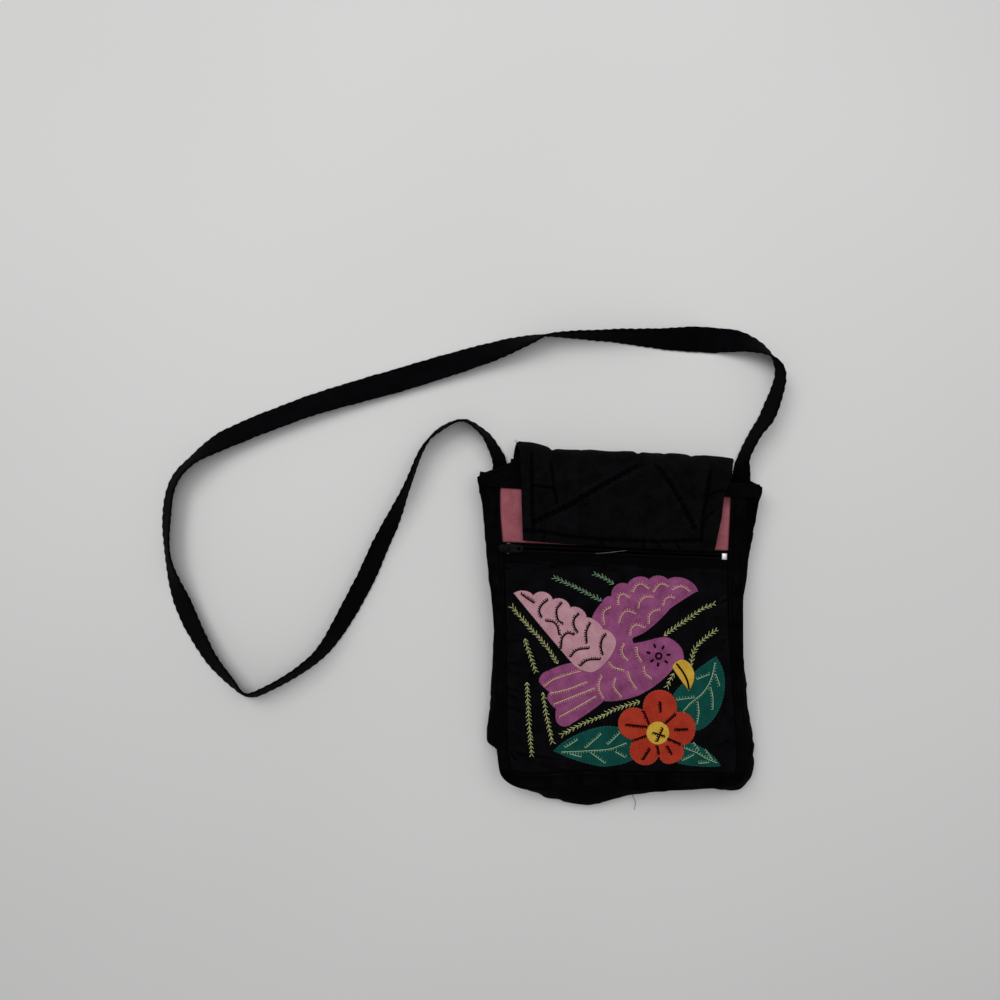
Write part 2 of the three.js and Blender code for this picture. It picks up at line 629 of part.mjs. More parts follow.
function flapPoint(u, v) {
  const radius = (FLAP_HIGH_Z - FLAP_LOW_Z) / 2;
  const ear = FLAP_EAR * (1 - smooth(FLAP_EAR_FROM, FLAP_EAR_TO, u));
  const foldY = FLAP_TOP_Y + ear - FLAP_DROOP * u ** 6 - radius - FLAP_THICK * 0.5;
  const edgeY = FLAP_EDGE_Y + FLAP_EDGE_RISE * (1 - u) ** 2.5;
  const down = Math.max(0, (v - FOLD_SHARE) / (1 - FOLD_SHARE));
  const x = THREE.MathUtils.lerp(flapSide(down, "left"), flapSide(down, "right"), u);
  if (v < LAP_SHARE) {
    return new THREE.Vector3(x, THREE.MathUtils.lerp(FLAP_LAP_Y, foldY, v / LAP_SHARE), FLAP_LOW_Z);
  }
  if (v < FOLD_SHARE) {
    const turn = Math.PI * (v - LAP_SHARE) / (FOLD_SHARE - LAP_SHARE);
    const middle = FLAP_LOW_Z + radius;
    const right = FLAP_CORNER_RIGHT * Math.exp((u - 1) / FLAP_CORNER_FADE);
    const left = FLAP_CORNER_LEFT * Math.exp(-u / FLAP_CORNER_FADE);
    const corner = (right - left) * Math.sin(turn) ** 3;
    return new THREE.Vector3(x + corner, foldY + radius * Math.sin(turn), middle - radius * Math.cos(turn));
  }
  return new THREE.Vector3(x, THREE.MathUtils.lerp(foldY, edgeY, down), FLAP_HIGH_Z);
}

// Padding: full between the seams, drawn in along the border seams, at the rims and on the lap
const FLAP_SEAM_LEFT = 0.055;
const FLAP_SEAM_RIGHT = 0.915;
const FLAP_SEAM_V = 0.88;

function flapThickness(u, v) {
  const rim = Math.min(u, 1 - u, (1 - v) * 0.8);
  const sideSeam = Math.min(Math.abs(u - FLAP_SEAM_LEFT), Math.abs(u - FLAP_SEAM_RIGHT));
  const seam = Math.min(sideSeam, Math.abs(v - FLAP_SEAM_V));
  const rimFill = THREE.MathUtils.lerp(FLAP_RIM, 1, smooth(0, 0.04, rim));
  const seamFill = THREE.MathUtils.lerp(FLAP_SEAM, 1, smooth(0, 0.03, seam));
  const lapFill = THREE.MathUtils.lerp(FLAP_RIM, 1, smooth(LAP_SHARE, FOLD_SHARE, v));
  return FLAP_THICK * Math.min(rimFill, seamFill, lapFill);
}

function flapGeometry() {
  const left = [0, 0.015, 0.035, FLAP_SEAM_LEFT, 0.09, 0.13];
  const middle = evenShares(7).map((share) => THREE.MathUtils.lerp(0.2, 0.8, share));
  const across = [...left, ...middle, 0.86, FLAP_SEAM_RIGHT, 0.95, 0.98, 1];
  const fold = evenShares(8).map((share) => THREE.MathUtils.lerp(LAP_SHARE, FOLD_SHARE, share));
  const along = [0, 0.05, ...fold, 0.5, 0.6, 0.7, 0.78, 0.84, FLAP_SEAM_V, 0.93, 0.97, 1];
  return clothWall(flapPoint, flapThickness, across, along);
}

// Strap: a flat band on a run of points, turned about the run
const strapRows = STRAP.map((row) => new THREE.Vector3(row.x, row.y, row.roll));
const strapCurve = new THREE.CatmullRomCurve3(strapRows);

function strapFrame(share) {
  const row = strapCurve.getPoint(share);
  const run = strapCurve.getTangent(share).setZ(0).normalize();
  const roll = THREE.MathUtils.degToRad(row.z);
  const side = new THREE.Vector3(-run.y, run.x, 0);
  const up = new THREE.Vector3(0, 0, 1);
  const across = side.clone().multiplyScalar(Math.cos(roll)).addScaledVector(up, Math.sin(roll));
  const face = new THREE.Vector3().crossVectors(run, across);
  const left = STRAP[0];
  const right = STRAP.at(-1);
  const fromLeft = Math.hypot(row.x - left.x, row.y - left.y);
  const fromRight = Math.hypot(row.x - right.x, row.y - right.y);
  const fromEnd = Math.min(fromLeft, fromRight);
  const free = smooth(12, 12 + STRAP_END_RUN, fromEnd);
  const wide = THREE.MathUtils.lerp(STRAP_END_WIDE, STRAP_WIDE, free);
  const rest = Math.abs(Math.sin(roll)) * wide / 2 + Math.abs(Math.cos(roll)) * STRAP_THICK / 2;
  const center = new THREE.Vector3(row.x, row.y, rest + STRAP_END_LIFT * (1 - free));
  return { center, across, face, wide };
}

function strapGeometry() {
  const section = [-0.5, -0.4, 0, 0.4, 0.5];
  const bulge = [0.55, 1, 1, 1, 0.55];
  const frames = evenShares(STRAP_STEPS).map(strapFrame);
  const pointAt = (side, column, row) => {
    const { center, across, face, wide } = frames[column];
    const point = center.clone().addScaledVector(across, section[row] * wide);
    return point.addScaledVector(face, side * bulge[row] * STRAP_THICK / 2);
  };
  return twoSheets(pointAt, STRAP_STEPS, section.length - 1);
}

// A patch outline from its corners, each edge bowed out to its left
function patchShape(corners) {
  const shape = new THREE.Shape();
  let from = corners[0];
  shape.moveTo(from.x, from.y);
  for (const to of [...corners.slice(1), corners[0]]) {
    const length = Math.hypot(to.x - from.x, to.y - from.y);
    const run = { x: (to.x - from.x) / length, y: (to.y - from.y) / length };
    const out = to.bow * 4 / 3;
    const cheek = (to.cheek ?? 0) - (to.cheek === undefined ? length * 0.2 : 0);
    shape.bezierCurveTo(
      from.x - run.x * cheek - run.y * out, from.y - run.y * cheek + run.x * out,
      to.x + run.x * cheek - run.y * out, to.y + run.y * cheek + run.x * out,
      to.x, to.y);
    from = to;
  }
  return shape;
}

function patchGeometry(corners, layer) {
  const low = FRONT_TOP + PATCH_GAP + layer * (PATCH_THICK + PATCH_GAP);
  return slab(patchShape(corners), low, low + PATCH_THICK, 6);
}

function centerGeometry() {
  const low = FRONT_TOP + PATCH_GAP + 2 * (PATCH_THICK + PATCH_GAP);
  const disc = new THREE.Shape().absarc(CENTER_X, CENTER_Y, CENTER_R, 0, Math.PI * 2, false);
  return slab(disc, low, low + PATCH_THICK * 0.8, 14);
}

const bag = new THREE.Group();
bag.name = "applique_crossbody_bag";

function add(name, geometry, material) {
  const mesh = new THREE.Mesh(geometry, material);
  mesh.name = name;
  bag.add(mesh);
}

add("back_panel", backGeometry(), cloth("back_cloth", BLACK_CLOTH));
add("gusset", gussetGeometry(), cloth("side_cloth", BLACK_CLOTH));
add("front_panel", panelGeometry(), cloth("front_cloth", BLACK_CLOTH));
add("front_border", borderGeometry(), cloth("border_cloth", BLACK_BAND));
add("yoke", yokeGeometry(), cloth("pink_cloth", PINK_CLOTH));
add("top_hem", hemGeometry(), cloth("hem_cloth", BLACK_BAND));
add("flap", flapGeometry(), cloth("flap_cloth", BLACK_CLOTH));
add("strap", strapGeometry(), cloth("strap_cloth", BLACK_BAND));

const tapeTop = TAPE_Z + TAPE_THICK;
const slotLow = ZIP_Y - SLOT_HALF;
const slotHigh = ZIP_Y + SLOT_HALF;
const lowerTape = boxBetween(TAPE_LEFT_X, TAPE_RIGHT_X, TAPE_LOWER_Y, slotLow, TAPE_Z, tapeTop);
const upperTape = boxBetween(TAPE_LEFT_X, TAPE_RIGHT_X, slotHigh, TAPE_UPPER_Y, TAPE_Z, tapeTop);
const stopLeft = TEETH_RIGHT_X + SEAM_GAP;
const stopSides = [ZIP_Y - STOP_HALF, ZIP_Y + STOP_HALF];
const stop = boxBetween(stopLeft, stopLeft + STOP_LENGTH, ...stopSides, TEETH_Z, TEETH_Z + STOP_TALL);
add("zipper_tape_lower", lowerTape, cloth("tape_nylon", BLACK_NYLON, 0.75));
add("zipper_tape_upper", upperTape, cloth("tape_nylon_upper", BLACK_NYLON, 0.75));
add("zipper_teeth_lower", teethGeometry(-1), cloth("coil_nylon", BLACK_NYLON, 0.5));
add("zipper_teeth_upper", teethGeometry(1), cloth("coil_nylon_upper", BLACK_NYLON, 0.5));
add("zipper_stop", stop, metal("stop_metal", SILVER_METAL, 0.35));
add("zipper_slider", sliderGeometry(), metal("slider_metal", DARK_METAL, 0.4));
add("zipper_pull", pullGeometry(), metal("pull_metal", DARK_METAL, 0.4));

add("bird_body", patchGeometry(BIRD_BODY, 0), cloth("purple_cloth", PURPLE_CLOTH));
add("bird_wing", patchGeometry(BIRD_WING, 1), cloth("rose_cloth", ROSE_CLOTH));
add("bird_beak", patchGeometry(BIRD_BEAK, 1), cloth("beak_cloth", YELLOW_CLOTH));
add("leaf_right", patchGeometry(LEAF_RIGHT, 0), cloth("leaf_cloth_right", TEAL_CLOTH));
add("leaf_left", patchGeometry(LEAF_LEFT, 0), cloth("leaf_cloth_left", TEAL_CLOTH));
add("leaf_small", patchGeometry(LEAF_SMALL, 0), cloth("leaf_cloth_small", TEAL_CLOTH));
add("flower", patchGeometry(FLOWER, 1), cloth("petal_cloth", RED_CLOTH));
add("flower_center", centerGeometry(), cloth("center_cloth", YELLOW_CLOTH));

export default bag;
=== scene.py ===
"""Looks of an applique crossbody bag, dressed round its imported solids.

Sizes are in millimetres until a mesh is written. +X runs along the zip, +Y towards the flap and +Z
up out of the front; the bag lies on its back with its strap loose on the floor.
"""
import logging
import math
from dataclasses import dataclass, field
from enum import Enum
from typing import Callable, Iterable, NamedTuple, Sequence

import bmesh
import bpy
import numpy as np
from mathutils.geometry import delaunay_2d_cdt
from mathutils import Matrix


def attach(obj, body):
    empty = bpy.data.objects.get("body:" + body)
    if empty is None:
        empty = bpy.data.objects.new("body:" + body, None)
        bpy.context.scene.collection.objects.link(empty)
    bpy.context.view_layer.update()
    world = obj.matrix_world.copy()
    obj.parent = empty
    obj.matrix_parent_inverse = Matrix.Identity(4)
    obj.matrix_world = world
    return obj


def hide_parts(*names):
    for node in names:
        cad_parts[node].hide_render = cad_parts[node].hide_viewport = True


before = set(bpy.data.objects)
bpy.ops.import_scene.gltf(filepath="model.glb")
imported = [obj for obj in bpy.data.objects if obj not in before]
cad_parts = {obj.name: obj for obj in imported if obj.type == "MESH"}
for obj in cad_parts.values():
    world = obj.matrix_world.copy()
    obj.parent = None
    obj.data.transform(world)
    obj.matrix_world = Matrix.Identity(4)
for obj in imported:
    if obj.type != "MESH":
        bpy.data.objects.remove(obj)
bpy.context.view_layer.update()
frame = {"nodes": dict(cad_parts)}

Array = np.ndarray
MM = 0.001
TAU = 2 * math.pi
TINY = 1e-12
CLOTH_UV = "cloth"
# Point attribute of painted shading: painted shade in creases, painted highlight on ridges
PAINTED_SHADING = "painted_shading"
ACROSS = "across"
LOG = logging.getLogger("bag")

# Heights of the sewn layers above the floor
BACK_THICK = 2.4
WALL_THICK = 2.0
WALL_FRONT_Z = 19.4
WALL_BACK_Z = 3.8
FRONT_UNDER = 20.8
FRONT_TOP = 22.6
MOUTH_Y = 107.4
PANEL_TOP_Y = 47.5
YOKE_BOTTOM_Y = 60.1
ZIP_Y = 56.0

# Cloth folds: spread of their turn in radians, half widths, half lengths and shares of their height
FOLD_TURN = 0.5
FOLD_WIDTH = (1.2, 3.4)
FOLD_REACH = (6, 17)
FOLD_RISE = (-0.7, 1.0)

# Heights of the face of the applique and of the flap, where the photo's marks are read
APPLIQUE_Z = 24.0
FLAP_Z = 29.0


class Section(NamedTuple):
    """One section round the body: front seam, binding, side fold and back seam."""

    x: float
    y: float
    border: float
    fold: float
    fold_z: float
    back: float
    rise: float


# From the mouth down the left side, along the foot and up the right side
BODY = [
    Section(-99.2, MOUTH_Y, 9.4, 4.4, 17, -20, 11),
    Section(-98.6, 83, 9.6, 0.2, 14, -13, 4),
    Section(-95.6, PANEL_TOP_Y, 10.6, -0.6, 12, -7, 0),
    Section(-89.5, 3, 7.6, -0.2, 12, -3, 0),
    Section(-86.3, -48, 6.8, 3.4, 10, 0, 0),
    Section(-83.5, -84.4, 6.1, 7.6, 9, 2, 0),
    Section(-82.7, -91, 6.3, 1.4, 9, -1, 0),
    Section(-80, -106, 7.4, -0.4, 9, -2, 0),
    Section(-66.9, -114, 10.6, 3.2, 8, 1, 0),
    Section(-20, -113.6, 13.2, 16.0, 8, 6, 0),
    Section(16, -112.6, 13, 7.8, 8, 3, 0),
    Section(60, -109.9, 11.4, 2.8, 8, 0, 0),
    Section(90.4, -103.8, 7.6, 9.8, 8, 3, 0),
    Section(92.8, -88, 5.8, 10.2, 9, 4, 0),
    Section(89.8, -46.5, 6.5, 5.6, 10, 2, 0),
    Section(86.9, 10.8, 9.6, 1.2, 12, 0, 0),
    Section(85.9, PANEL_TOP_Y, 10.5, 5.2, 13, -2, 0),
    Section(85.8, 83, 10.2, 9.0, 14, -7, 4),
    Section(86.2, MOUTH_Y, 10.6, 11.4, 17, -10.8, 11),
]
LAST = len(BODY) - 1
# Shares along the seam at the zip's ends and the foot's corners
LEFT_ZIP, LEFT_CORNER, RIGHT_CORNER, RIGHT_ZIP = 2 / LAST, 7.35 / LAST, 12.2 / LAST, 16 / LAST

# Strap on the floor: x, y and its turn about its own run, 0 flat and 90 on edge
STRAP_ROUTE = [
    (-90.2, 105, 31), (-89.9, 116, 35), (-94.9, 127.7, 56), (-103.6, 139.2, 75), (-118.5, 147.2, 83),
    (-135.7, 139.1, 78), (-146.3, 126.6, 88), (-156.5, 98.7, 96), (-169.8, 65.8, 120),
    (-193.1, 12.2, 127), (-217.7, -28.8, 112), (-252.3, -53.6, 107), (-267.4, -59.6, 110),
    (-281, -49.4, 126), (-296.4, -33.4, 138), (-317.8, 3, 150), (-329.9, 40.2, 122), (-332, 68, 129),
    (-328.4, 93.2, 126), (-315.5, 110.2, 122), (-293.3, 126, 145), (-231.9, 153.5, 153),
    (-157.9, 178.6, 165), (-99.3, 198.8, 146), (-70.3, 208.7, 117), (-60.1, 211.6, 101),
    (-41.7, 212.6, 88), (-12.1, 213.1, 74), (25, 212.6, 50), (62.2, 214.2, 4), (87.7, 212.4, -34),
    (105.6, 202.6, -70), (112, 188.6, -94), (103.6, 158.9, -109), (94.9, 144.2, -103),
    (88.2, 128.8, -110), (87.4, 116, -146), (88.2, 105, -153),
]

# Patch outlines, clockwise: x, y and how far the edge that ends there bows out
BIRD_BODY = [
    (54.2, 30.8, 5.0), (34.6, 17.2, -0.4), (18, 0.3, 0.7), (9.6, -4, 0.3), (10.3, -8.1, -0.9),
    (23.3, -4.7, -0.2), (31.3, -2.8, 0.2), (45.2, -12.9, 2.4), (46.1, -18.6, 0.3), (37.9, -26, 0.4),
    (19.3, -42.4, 1.2), (-9.6, -49.9, 2.2), (-31.9, -66.8, 0.6), (-42.7, -66, 2.8), (-43.3, -57, 0.7),
    (-49.9, -49.8, 0.8), (-48.6, -44.9, 0.5), (-56.3, -38, 0.6), (-50.2, -30.1, 1.8),
    (-33.4, -23.8, 0.8), (-21.2, -7, 0), (-20.4, 8.7, 0), (-13.4, 20.2, 0.8), (-7, 24.7, 1.6),
    (4.1, 33.8, 4.4), (19.1, 37.6, 3.6), (32.2, 38.1, 2.9),
]
BIRD_WING = [
    (-76.5, 24, 0.3), (-62.8, 23.2, 2.7), (-48.7, 20.6, 4.1), (-36.2, 15.5, 3.4), (-24.3, 9, 3.2),
    (-12.5, 1.3, 1.9), (-2.7, -7.7, 2.3), (-18.9, -29.6, 3.2), (-33.4, -23.8, 1.6),
]
BIRD_BEAK = [(50.2, -39.8, 0.8), (37.8, -23.9, 0.3), (45.4, -18.3, 1.6), (53.7, -29, 2.2)]
LEAF_RIGHT = [(68.8, -15.6, 2.4), (59.4, -67.9, 11.3), (42.3, -67.2, 1.0), (38.6, -45.2, 1.5)]
LEAF_LEFT = [
    (-43.8, -86.8, 1.2), (-3.2, -67.8, 4.5), (17, -75.2, 1.5), (17.5, -87.3, 0.5), (-12.1, -96.3, 2.9),
]
LEAF_SMALL = [(45.5, -76.3, 0), (75, -92.9, 4.2), (44, -92, 1.4)]
# Petals also swell past their notches: x, y, bow, cheek
FLOWER = [
    (18.4, -55.3, 14.3, 3), (41.9, -55.8, 15.0, 3), (46.3, -79.1, 12.0, 2), (31, -87.6, 9.2, 3),
    (12.1, -76.6, 12.4, 1.4),
]
# A disc of 8.1 mm, as ten bowed edges
FLOWER_CENTER = [
    (29.3 + 8.1 * math.cos(turn), -70.9 - 8.1 * math.sin(turn), 0.395) for turn in TAU * np.arange(10) / 10
]


def smooth(low: float, high: float, value: Array) -> Array:
    """Ease from 0 at low to 1 at high."""
    share = np.clip((value - low) / (high - low), 0, 1)
    return share * share * (3 - 2 * share)


def bell(value: Array, middle: float, wide: Array | float) -> Array:
    """A bell, exp(-((value - middle) / wide)^2): 1 at its middle."""
    return np.exp(-(((value - middle) / wide) ** 2))


def unit(vectors: Array) -> Array:
    """The same directions at length 1, along the last axis."""
    return vectors / np.maximum(np.linalg.norm(vectors, axis=-1, keepdims=True), TINY)


def headings(line: Array) -> Array:
    """Unit directions along a line of points."""
    return unit(np.gradient(line, axis=0))


def left_of(run: Array) -> Array:
    """Directions in plan, a quarter turn to the left of the given ones."""
    return np.stack([-run[..., 1], run[..., 0]], axis=-1)


def run_lengths(path: Array) -> Array:
    """Length along a line of points at each of them."""
    return np.concatenate([[0], np.cumsum(np.linalg.norm(np.diff(path, axis=0), axis=1))])


def end_shares(count: int, pull: float) -> Array:
    """Shares from 0 to 1 that lie closer at both ends: even ones drawn by a pull to a cosine ease."""
    even = np.linspace(0, 1, count)
    return even * (1 - pull) + (0.5 - 0.5 * np.cos(np.pi * even)) * pull


def linear(code: str) -> tuple[float, float, float, float]:
    """Linear colour of a six-digit hex code."""
    parts = [int(code[at:at + 2], 16) / 255 for at in (0, 2, 4)]
    return (*(p / 12.92 if p <= 0.04045 else ((p + 0.055) / 1.055) ** 2.4 for p in parts), 1.0)


def pixels(words: str) -> Array:
    """Photo points from words such as "633,592 635,587"."""
    return np.array([pair.split(",") for pair in words.split()], float)


class Side(Enum):
    """Which side of a stitched line its ticks stand on."""

    BULGE = 0
    LEFT = 1
    RIGHT = -1


@dataclass(frozen=True)
class Photo:
    """The photograph's camera: straight down, turned a little about the vertical."""

    eye: tuple[float, float, float] = (-89.005, 90.091, 560.0)
    turn: float = math.radians(2.2)
    focal: float = 755.0
    middle: float = 500.0
    frame: float = 1000.0
    sensor: float = 36.0

    def on_height(self, points: Array, height: Array | float) -> Array:
        """Part X and Y of photo points that show a surface at a height.

        Args:
            points: Photo points, (n, 2).
            height: Height of the surface in millimetres, one or (n,).
        Returns:
            X and Y in millimetres, (n, 2).
        """
        scale = (self.eye[2] - height) / self.focal
        right = (points[:, 0] - self.middle) * scale
        up = (self.middle - points[:, 1]) * scale
        cosine, sine = math.cos(self.turn), math.sin(self.turn)
        x = right * cosine - up * sine + self.eye[0]
        y = right * sine + up * cosine + self.eye[1]
        return np.stack([x, y], axis=1)


PHOTO = Photo()


@dataclass
class Spline:
    """Curve through points: cubic spans, centripetal unless a tension is given."""

    points: Array
    tension: float | None = None

    def at(self, share: Array) -> Array:
        """Points at shares from 0 to 1, each span an equal share.

        Args:
            share: Any shape of shares.
        Returns:
            Points, the same shape with one more axis.
        """
        first, last = 2 * self.points[0] - self.points[1], 2 * self.points[-1] - self.points[-2]
        knots = np.vstack([first, self.points, last])
        place = np.clip(share, 0, 1) * (len(self.points) - 1)
        span = np.minimum(place.astype(int), len(self.points) - 2)
        w = (place - span)[..., None]
        p0, p1, p2, p3 = (knots[span + step] for step in range(4))
        if self.tension is None:
            spans = ((p0, p1), (p1, p2), (p2, p3))
            d0, d1, d2 = (np.sqrt(np.linalg.norm(b - a, axis=-1, keepdims=True)) for a, b in spans)
            t1 = ((p1 - p0) / d0 - (p2 - p0) / (d0 + d1) + (p2 - p1) / d1) * d1
            t2 = ((p2 - p1) / d1 - (p3 - p1) / (d1 + d2) + (p3 - p2) / d2) * d1
        else:
            t1, t2 = self.tension * (p2 - p0), self.tension * (p3 - p1)
        return p1 + t1 * w + (3 * (p2 - p1) - 2 * t1 - t2) * w**2 + (2 * (p1 - p2) + t1 + t2) * w**3

    def ahead(self, share: Array, step: float = 1e-4) -> Array:
        """Short steps along the curve at shares."""
        return self.at(np.minimum(share + step, 1)) - self.at(np.maximum(share - step, 0))

    def run(self, share: Array) -> Array:
        """Unit directions at shares."""
        return unit(self.ahead(share))


def even_path(path: Array, pitch: float) -> Array:
    """Points at an even pitch along a line of points, ends kept."""
    length = run_lengths(path)
    count = max(2, int(round(length[-1] / pitch)) + 1)
    at = np.linspace(0, length[-1], count)
    return np.stack([np.interp(at, length, path[:, axis]) for axis in range(path.shape[1])], axis=1)


def path_distance(points: Array, path: Array) -> tuple[Array, Array]:
    """How far points are from a line of points, and how far along it.

    Args:
        points: (k, 2).
        path: (n, 2).
    Returns:
        Distance (k,) and length along the path (k,) of the nearest place.
    """
    start, run = path[:-1], np.diff(path, axis=0)
    squared = np.maximum((run**2).sum(1), TINY)
    share = np.clip(((points[:, None] - start) * run).sum(2) / squared, 0, 1)
    away = np.linalg.norm(points[:, None] - start - share[..., None] * run, axis=2)
    best = away.argmin(1)
    rows = np.arange(len(points))
    lengths = np.sqrt(squared)
    along = (np.cumsum(lengths) - lengths)[best] + share[rows, best] * lengths[best]
    return away[rows, best], along


def folds(x: Array, y: Array, count: int, box: Sequence[float], size: float, seed: int, lean: float) -> Array:
    """Seeded cloth folds: each a bell across its run and a bell along it, multiplied, and all summed.

    Args:
        x, y: Places, any shape.
        count: Number of folds.
        box: Least x, most x, least y, most y of their middles.
        size: Height of a typical fold.
        seed: Random seed.
        lean: Mean direction of the folds in radians.
    Returns:
        Heights of the same shape as x.
    """
    draw = np.random.default_rng(seed)
    middle_x = draw.uniform(box[0], box[1], count)
    middle_y = draw.uniform(box[2], box[3], count)
    turn = draw.normal(lean, FOLD_TURN, count)
    width = draw.uniform(*FOLD_WIDTH, count)
    reach = draw.uniform(*FOLD_REACH, count)
    tall = size * draw.uniform(*FOLD_RISE, count)
    dx, dy = x[..., None] - middle_x, y[..., None] - middle_y
    along = dx * np.cos(turn) + dy * np.sin(turn)
    across = dy * np.cos(turn) - dx * np.sin(turn)
    return (tall * np.exp(-((across / width) ** 2) - (along / reach) ** 2)).sum(-1)


def quads(rows: int, columns: int, wrap: bool = False) -> Array:
    """Corner numbers of a grid's cells, (cells, 4); wrap joins the last column to the first."""
    ids = np.arange(rows * columns).reshape(rows, columns)
    if wrap:
        ids = np.hstack([ids, ids[:, :1]])
    return np.stack([ids[:-1, :-1], ids[1:, :-1], ids[1:, 1:], ids[:-1, 1:]], axis=-1).reshape(-1, 4)


def normals(grid: Array) -> Array:
    """Unit normals of a grid of points: the cross product of its two slopes."""
    return unit(np.cross(np.gradient(grid, axis=0), np.gradient(grid, axis=1)))


def grid_rim(plan: Array) -> Array:
    """Closed line round a grid of points."""
    return np.concatenate([plan[0], plan[1:, -1], plan[-1, -2::-1], plan[-2::-1, 0]])


def hoops(line: Array, side: Array, up: Array, radius: Array | float, sides: int) -> Array:
    """Circles of points round places, each spanned by a sideways and an upward direction.

    Args:
        line: Places, (..., 3).
        side, up: Unit directions at the places.
        radius: One, or one for each place.
        sides: Points on a circle.
    Returns:
        Points, (..., sides, 3).
    """
    turn = TAU * np.arange(sides) / sides
    ring = np.cos(turn)[:, None] * side[..., None, :] + np.sin(turn)[:, None] * up[..., None, :]
    return line[..., None, :] + np.asarray(radius)[..., None, None] * ring


@dataclass
class Surface:
    """A closed surface in millimetres: points, faces, cloth coordinates and the painted shading at each
    point.
    """

    points: Array
    faces: list
    uv: Array
    painted_shading: Array | None = None

    @classmethod
    def shell(cls, top: Array, under: Array, painted_shading: Array | None = None) -> "Surface":
        """Two grids of points joined by a rim.

        Args:
            top: (rows, columns, 3).
            under: The same shape.
            painted_shading: Painted shading of each top point, from -1 for a painted highlight on ridges to 1
                for painted shade in creases, (rows, columns).
        Returns:
            A closed surface that faces outwards; cloth coordinates are lengths along the two grid axes.
        """
        rows, columns = top.shape[:2]
        size = rows * columns
        ids = np.arange(size).reshape(rows, columns)
        loop = np.concatenate([ids[0], ids[1:, -1], ids[-1, -2::-1], ids[-2:0:-1, 0]])
        ahead = np.roll(loop, -1)
        rim = np.stack([ahead, ahead + size, loop + size, loop], axis=1)
        face = quads(rows, columns)
        faces = np.concatenate([face, face[:, ::-1] + size, rim])
        points = np.concatenate([top.reshape(-1, 3), under.reshape(-1, 3)])
        middle = (top + under) / 2
        steps = [np.linalg.norm(np.diff(middle, axis=axis), axis=2).mean(1 - axis) for axis in (0, 1)]
        u, v = np.meshgrid(*(np.concatenate([[0], np.cumsum(step)]) for step in steps), indexing="ij")
        uv = np.tile(np.stack([u.ravel(), v.ravel()], axis=1), (2, 1))
        # Painted shade and painted highlight go on the top face only
        deep = None if painted_shading is None else np.concatenate([painted_shading.ravel(), np.zeros(size)])
        return cls(points, faces.tolist(), uv, deep).outward()

    @classmethod
    def cloth(cls, middle: Array, thick: Array | float) -> "Surface":
        """A cloth wall on both sides of a middle grid, half its thickness along the normals each way."""
        half = normals(middle) * (np.broadcast_to(thick, middle.shape[:2]) / 2)[..., None]
        return cls.shell(middle + half, middle - half)

    @classmethod
    def tubes(cls, rings: Array) -> "Surface":
        """Many short tubes: rings of points along each, capped at both ends.

        Args:
            rings: (tubes, rings, sides, 3).
        Returns:
            One surface that holds all of them.
        """
        count, steps, sides = rings.shape[:3]
        size = steps * sides
        shift = (np.arange(count) * size)[:, None, None]
        walls = (quads(steps, sides, wrap=True)[None] + shift).reshape(-1, 4)
        first = (np.arange(sides)[None] + shift[:, 0]).reshape(-1, sides)
        last = first[:, ::-1] + size - sides
        length = np.linalg.norm(np.diff(rings.mean(2), axis=1), axis=2)
        along = np.concatenate([np.zeros((count, 1)), np.cumsum(length, axis=1)], axis=1)
        around = np.broadcast_to(np.arange(sides) / sides, rings.shape[:3])
        uv = np.stack([np.broadcast_to(along[..., None], rings.shape[:3]), around], axis=-1)
        faces = walls.tolist() + first.tolist() + last.tolist()
        return cls(rings.reshape(-1, 3), faces, uv.reshape(-1, 2)).outward()

    def outward(self) -> "Surface":
        """Turn the faces round if the volume they enclose is negative."""
        fan = [face[:3] for face in self.faces]
        fan += [[face[0], face[2], face[3]] for face in self.faces if len(face) > 3]
        fan = np.array(fan)
        a, b, c = (self.points[fan[:, corner]] for corner in range(3))
        if (a * np.cross(b, c)).sum() < 0:
            self.faces = [face[::-1] for face in self.faces]
        return self


def link_piece(name: str, mesh: bpy.types.Mesh, material: bpy.types.Material, body: str) -> bpy.types.Object:
    """Give a mesh its finish and make it a piece that rides on a body."""
    mesh.materials.append(material)
    piece = bpy.data.objects.new(name, mesh)
    bpy.context.scene.collection.objects.link(piece)
    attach(piece, body)
    LOG.info("%s: %d faces", name, len(mesh.polygons))
    return piece


def add_piece(name: str, surface: Surface, material: bpy.types.Material) -> bpy.types.Object:
    """Write a surface into a mesh object that rides on the bag.

    Args:
        name: Piece name.
        surface: Points, faces and cloth coordinates in millimetres.
        material: Its finish.
    Returns:
        The object, at the origin.
    """
    mesh = bpy.data.meshes.new(name)
    mesh.from_pydata((surface.points * MM).tolist(), [], surface.faces)
    mesh.polygons.foreach_set("use_smooth", np.ones(len(mesh.polygons), bool))
    corners = np.zeros(len(mesh.loops), np.int32)
    mesh.loops.foreach_get("vertex_index", corners)
    layer = mesh.uv_layers.new(name=CLOTH_UV)
    layer.data.foreach_set("uv", surface.uv[corners].astype(np.float32).ravel())
    # Painted shade and painted highlight, kept as a point attribute that the cloth shader reads
    if surface.painted_shading is not None:
        deep = mesh.attributes.new(PAINTED_SHADING, "FLOAT", "POINT")
        deep.data.foreach_set("value", np.clip(surface.painted_shading, -1, 1).astype(np.float32))
    mesh.update()
    return link_piece(name, mesh, material, "bag")


